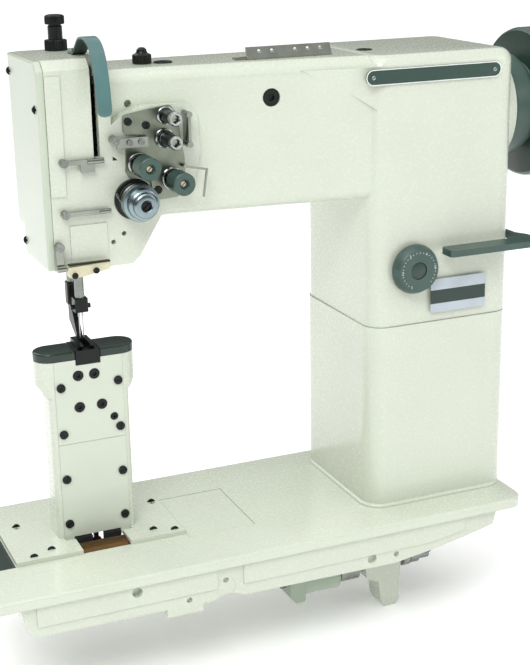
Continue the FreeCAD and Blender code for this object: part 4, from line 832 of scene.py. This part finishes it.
STROKES = {1: [[(0.5, 1.7), (0.9, 2), (0.9, 0)]],
           2: [[(0, 1.6), (0.3, 2), (0.9, 2), (1.2, 1.5), (0, 0), (1.2, 0)]],
           3: [[(0, 1.8), (0.5, 2), (1.1, 1.6), (0.6, 1.1), (1.2, 0.5), (0.6, 0), (0, 0.2)]],
           4: [[(0.9, 0), (0.9, 2), (0, 0.7), (1.3, 0.7)]],
           5: [[(1.2, 2), (0.1, 2), (0, 1.1), (0.7, 1.2), (1.2, 0.6), (0.7, 0), (0, 0.2)]]}


def add_digit(bm, place, number):
    """A plain figure of round strokes, about 3 mm high, facing the front."""
    for stroke in STROKES[number]:
        points = [place + Vector(((x - 0.6) * 1.35 * MM, -0.02 * MM, (z - 1) * 1.35 * MM)) for x,
                  z in stroke]
        add_tube(bm, points, 0.22, 6)


def make_name_plate():
    """A pale rim and two slotted rivets on the blank plate."""
    low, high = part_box("nameplate")
    half = (high.z - low.z) / 2 / MM
    length = (high.x - low.x) / MM
    centre = Vector(((low.x + high.x) / 2, low.y + 0.65 * MM, (low.z + high.z) / 2))
    straight = length / 2 - half

    def stadium(radius):
        right = [(straight + x, y) for x, y in arc_outline(radius, -math.pi / 2, math.pi / 2, 16)]
        left = [(-straight + x, y) for x, y in arc_outline(radius, math.pi / 2, math.pi * 1.5, 16)]
        return right + left
    outer, inner = stadium(half - 0.1), stadium(half - 0.9)
    bm = bmesh.new()
    rings = []
    for outline, lift in ((outer, 0.0), (outer, 0.35), (inner, 0.35), (inner, 0.0)):
        rings.append([bm.verts.new(centre + RIGHT * x * MM + UP * y * MM + FRONT * lift * MM) for x,
                      y in outline])
    for first, second in zip(rings, rings[1:] + rings[:1]):
        for index in range(len(first)):
            after = (index + 1) % len(first)
            bm.faces.new((first[index], first[after], second[after], second[index]))
    piece("nameplate_rim", bm, "root", INK_WHITE, bevel=0)
    bm = bmesh.new()
    for side in (-1, 1):
        add_slotted(bm, centre + RIGHT * side * straight * MM, FRONT, 1.9, 0.9, turn=0.6, slot=0.22)
    piece("nameplate_rivets", bm, "root", CHROME, bevel=0.1)


def make_label():
    """A blank model label: a dark band between two pale ones."""
    dial_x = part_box("stitch_dial")[1].x
    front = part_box("riser_column")[0].y + 1.45 * MM
    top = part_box("riser_column")[1].z + 41 * MM
    left = dial_x - 4.8 * MM
    wide, high = 58, 32
    for name, start, end, finish in (("label_top", 21.5, high, LABEL_PALE),
                                     ("label_band", 8.5, 21.5, LABEL_DARK),
                                     ("label_foot", 0, 8.5, LABEL_PALE)):
        bm = bmesh.new()
        low = Vector((left, front - 0.35 * MM, top - (high - start) * MM))
        add_block(bm, low, low + Vector((wide * MM, 0.4 * MM, (end - start) * MM)))
        piece(name, bm, "root", finish, bevel=0)


make_dial()
make_name_plate()
make_label()


# ---------------------------------------------------------------- handwheel
def make_handwheel():
    low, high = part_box("handwheel")
    radius = (high.z - low.z) / 2 / MM
    centre = Vector((low.x, (low.y + high.y) / 2, (low.z + high.z) / 2))
    shaft = 9.55
    bm = bmesh.new()
    add_turned(bm, centre, RIGHT, [(shaft, 0), (44, 0), (46.6, 0.6), (48, 2), (48, 19), (47, 20.4),
                                   (40.4, 23.6), (40, 24.4), (40, 28.4),
                                   (40.6, 29.2)], 96)
    piece("wheel_hub", bm, "drive", TEAL, ["handwheel"], bevel=0)
    # The wheel's left face takes the darker teal: painted shade.
    bm = bmesh.new()
    add_turned(bm, centre, RIGHT, [(40.6, 29.2), (51.4, 30.6), (65, 31.6), (68, 32.2)], 96)
    piece("wheel_face_painted_shade", bm, "drive", TEAL_DARK_AND_SHADE, bevel=0)
    bm = bmesh.new()
    add_turned(bm, centre, RIGHT, [(68, 32.2), (70, 34), (radius, 37), (radius, 51), (70, 53.6),
                                   (68, 55), (66, 56), (58, 56), (56.4, 55),
                                   (53.6, 50.6), (52, 49.6)], 96)
    piece("wheel_rim", bm, "drive", TEAL, bevel=0)
    # The web takes the darker teal too: painted shade.
    bm = bmesh.new()
    add_turned(bm, centre, RIGHT, [(52, 49.6), (40, 47.6), (25.5, 46.2), (24, 46.8), (22.6, 53),
                                   (21.4, 54), (shaft, 54), (shaft, 0)], 96)
    piece("wheel_web_painted_shade", bm, "drive", TEAL_DARK_AND_SHADE, bevel=0)
    bm = bmesh.new()
    for step in range(3):
        angle = math.tau * step / 3 + 0.4
        place = centre + RIGHT * 46.4 * MM + Vector((0, math.cos(angle), math.sin(angle))) * 34 * MM
        add_slotted(bm, place, RIGHT, 4.2, 2.2, turn=angle)
    piece("wheel_screws", bm, "drive", BLACK)


make_handwheel()


# ---------------------------------------------------------------- camera, light and floor
def make_camera():
    """The viewpoint: ahead and to the left of the needle, a little above the arm."""
    yaw, pitch, roll = math.radians(22.98), math.radians(17.44), math.radians(-1.09)
    forward = Vector((math.sin(yaw) * math.cos(pitch), math.cos(yaw) * math.cos(pitch), -math.sin(pitch)))
    across = Vector((math.cos(yaw), -math.sin(yaw), 0))
    upward = across.cross(forward)
    right = across * math.cos(roll) + upward * math.sin(roll)
    top = upward * math.cos(roll) - across * math.sin(roll)
    lens = bpy.data.cameras.new("camera")
    lens.lens = 75.66
    lens.sensor_width = 36
    lens.clip_end = 20
    camera = bpy.data.objects.new("camera", lens)
    bpy.context.scene.collection.objects.link(camera)
    turn = Matrix((right, top, -forward)).transposed().to_4x4()
    camera.matrix_world = Matrix.Translation(Vector((-0.3125, -1.1531, 0.5693))) @ turn
    bpy.context.scene.camera = camera


def make_light(name, place, target, size, power, colour=(1, 1, 1)):
    lamp = bpy.data.lights.new(name, "AREA")
    lamp.shape = "DISK"
    lamp.size = size
    lamp.energy = power
    lamp.color = colour
    light = bpy.data.objects.new(name, lamp)
    bpy.context.scene.collection.objects.link(light)
    light.location = place
    light.rotation_euler = (target - place).to_track_quat("-Z", "Y").to_euler()


def make_world():
    """Soft daylight from above with a darker band around the horizon, so that bare metal has contrast."""
    world = bpy.data.worlds.new("studio")
    world.use_nodes = True
    nodes, link = world.node_tree.nodes, world.node_tree.links.new
    way = nodes.new("ShaderNodeTexCoord")
    split = nodes.new("ShaderNodeSeparateXYZ")
    link(way.outputs["Generated"], split.inputs["Vector"])
    ramp = nodes.new("ShaderNodeValToRGB")
    stops = ((-0.02, 0.80), (0.03, 0.10), (0.34, 0.13), (0.52, 0.85))
    while len(ramp.color_ramp.elements) < len(stops):
        ramp.color_ramp.elements.new(0.5)
    for element, (height, grey) in zip(ramp.color_ramp.elements, stops):
        element.position = height / 2 + 0.5
        element.color = (grey, grey, grey, 1)
    rise = nodes.new("ShaderNodeMapRange")
    rise.inputs["From Min"].default_value = -1
    link(split.outputs["Z"], rise.inputs["Value"])
    link(rise.outputs["Result"], ramp.inputs["Fac"])
    link(ramp.outputs["Color"], nodes["Background"].inputs["Color"])
    nodes["Background"].inputs["Strength"].default_value = 0.9
    bpy.context.scene.world = world


def make_floor():
    """A wide pale sheet under the machine."""
    low = cad_box[0]
    size = 30               # metres from the middle to each edge
    bm = bmesh.new()
    bm.faces.new([bm.verts.new((x * size, y * size, low.z - 0.0005)) for x,
                  y in ((-1, -1), (1, -1), (1, 1), (-1, 1))])
    mesh = bpy.data.meshes.new("floor")
    bm.to_mesh(mesh)
    bm.free()
    floor = bpy.data.objects.new("floor", mesh)
    bpy.context.scene.collection.objects.link(floor)
    paper = Shader("pale_floor")
    paper.feed("Base Color", paper.ramp(paper.noise(3, 2),
                                        [(0.2, (0.94, 0.94, 0.94)), (0.8, (0.97, 0.97, 0.97))]))
    paper.set(Roughness=0.9, Emission_Color=(1, 1, 1, 1), Emission_Strength=0.22)
    mesh.materials.append(paper.material)


def make_studio():
    low, high = cad_box
    heart = (low + high) / 2
    make_light("key", heart + Vector((-1.1, -1.6, 1.9)), heart, 1.2, 27)
    make_light("fill", heart + Vector((1.9, -1.6, 0.9)), heart, 1.4, 9)
    make_light("back", heart + Vector((-0.8, 1.7, 1.4)), heart, 1.4, 12)
    sheet = bpy.data.lights.new("overhead", "SUN")
    sheet.energy = 1.0
    sheet.angle = math.radians(60)
    overhead = bpy.data.objects.new("overhead", sheet)
    bpy.context.scene.collection.objects.link(overhead)
    overhead.rotation_euler = (math.radians(12), math.radians(-14), 0)
    make_world()
    bpy.context.scene.view_settings.view_transform = "Standard"
    make_floor()


make_camera()
make_studio()
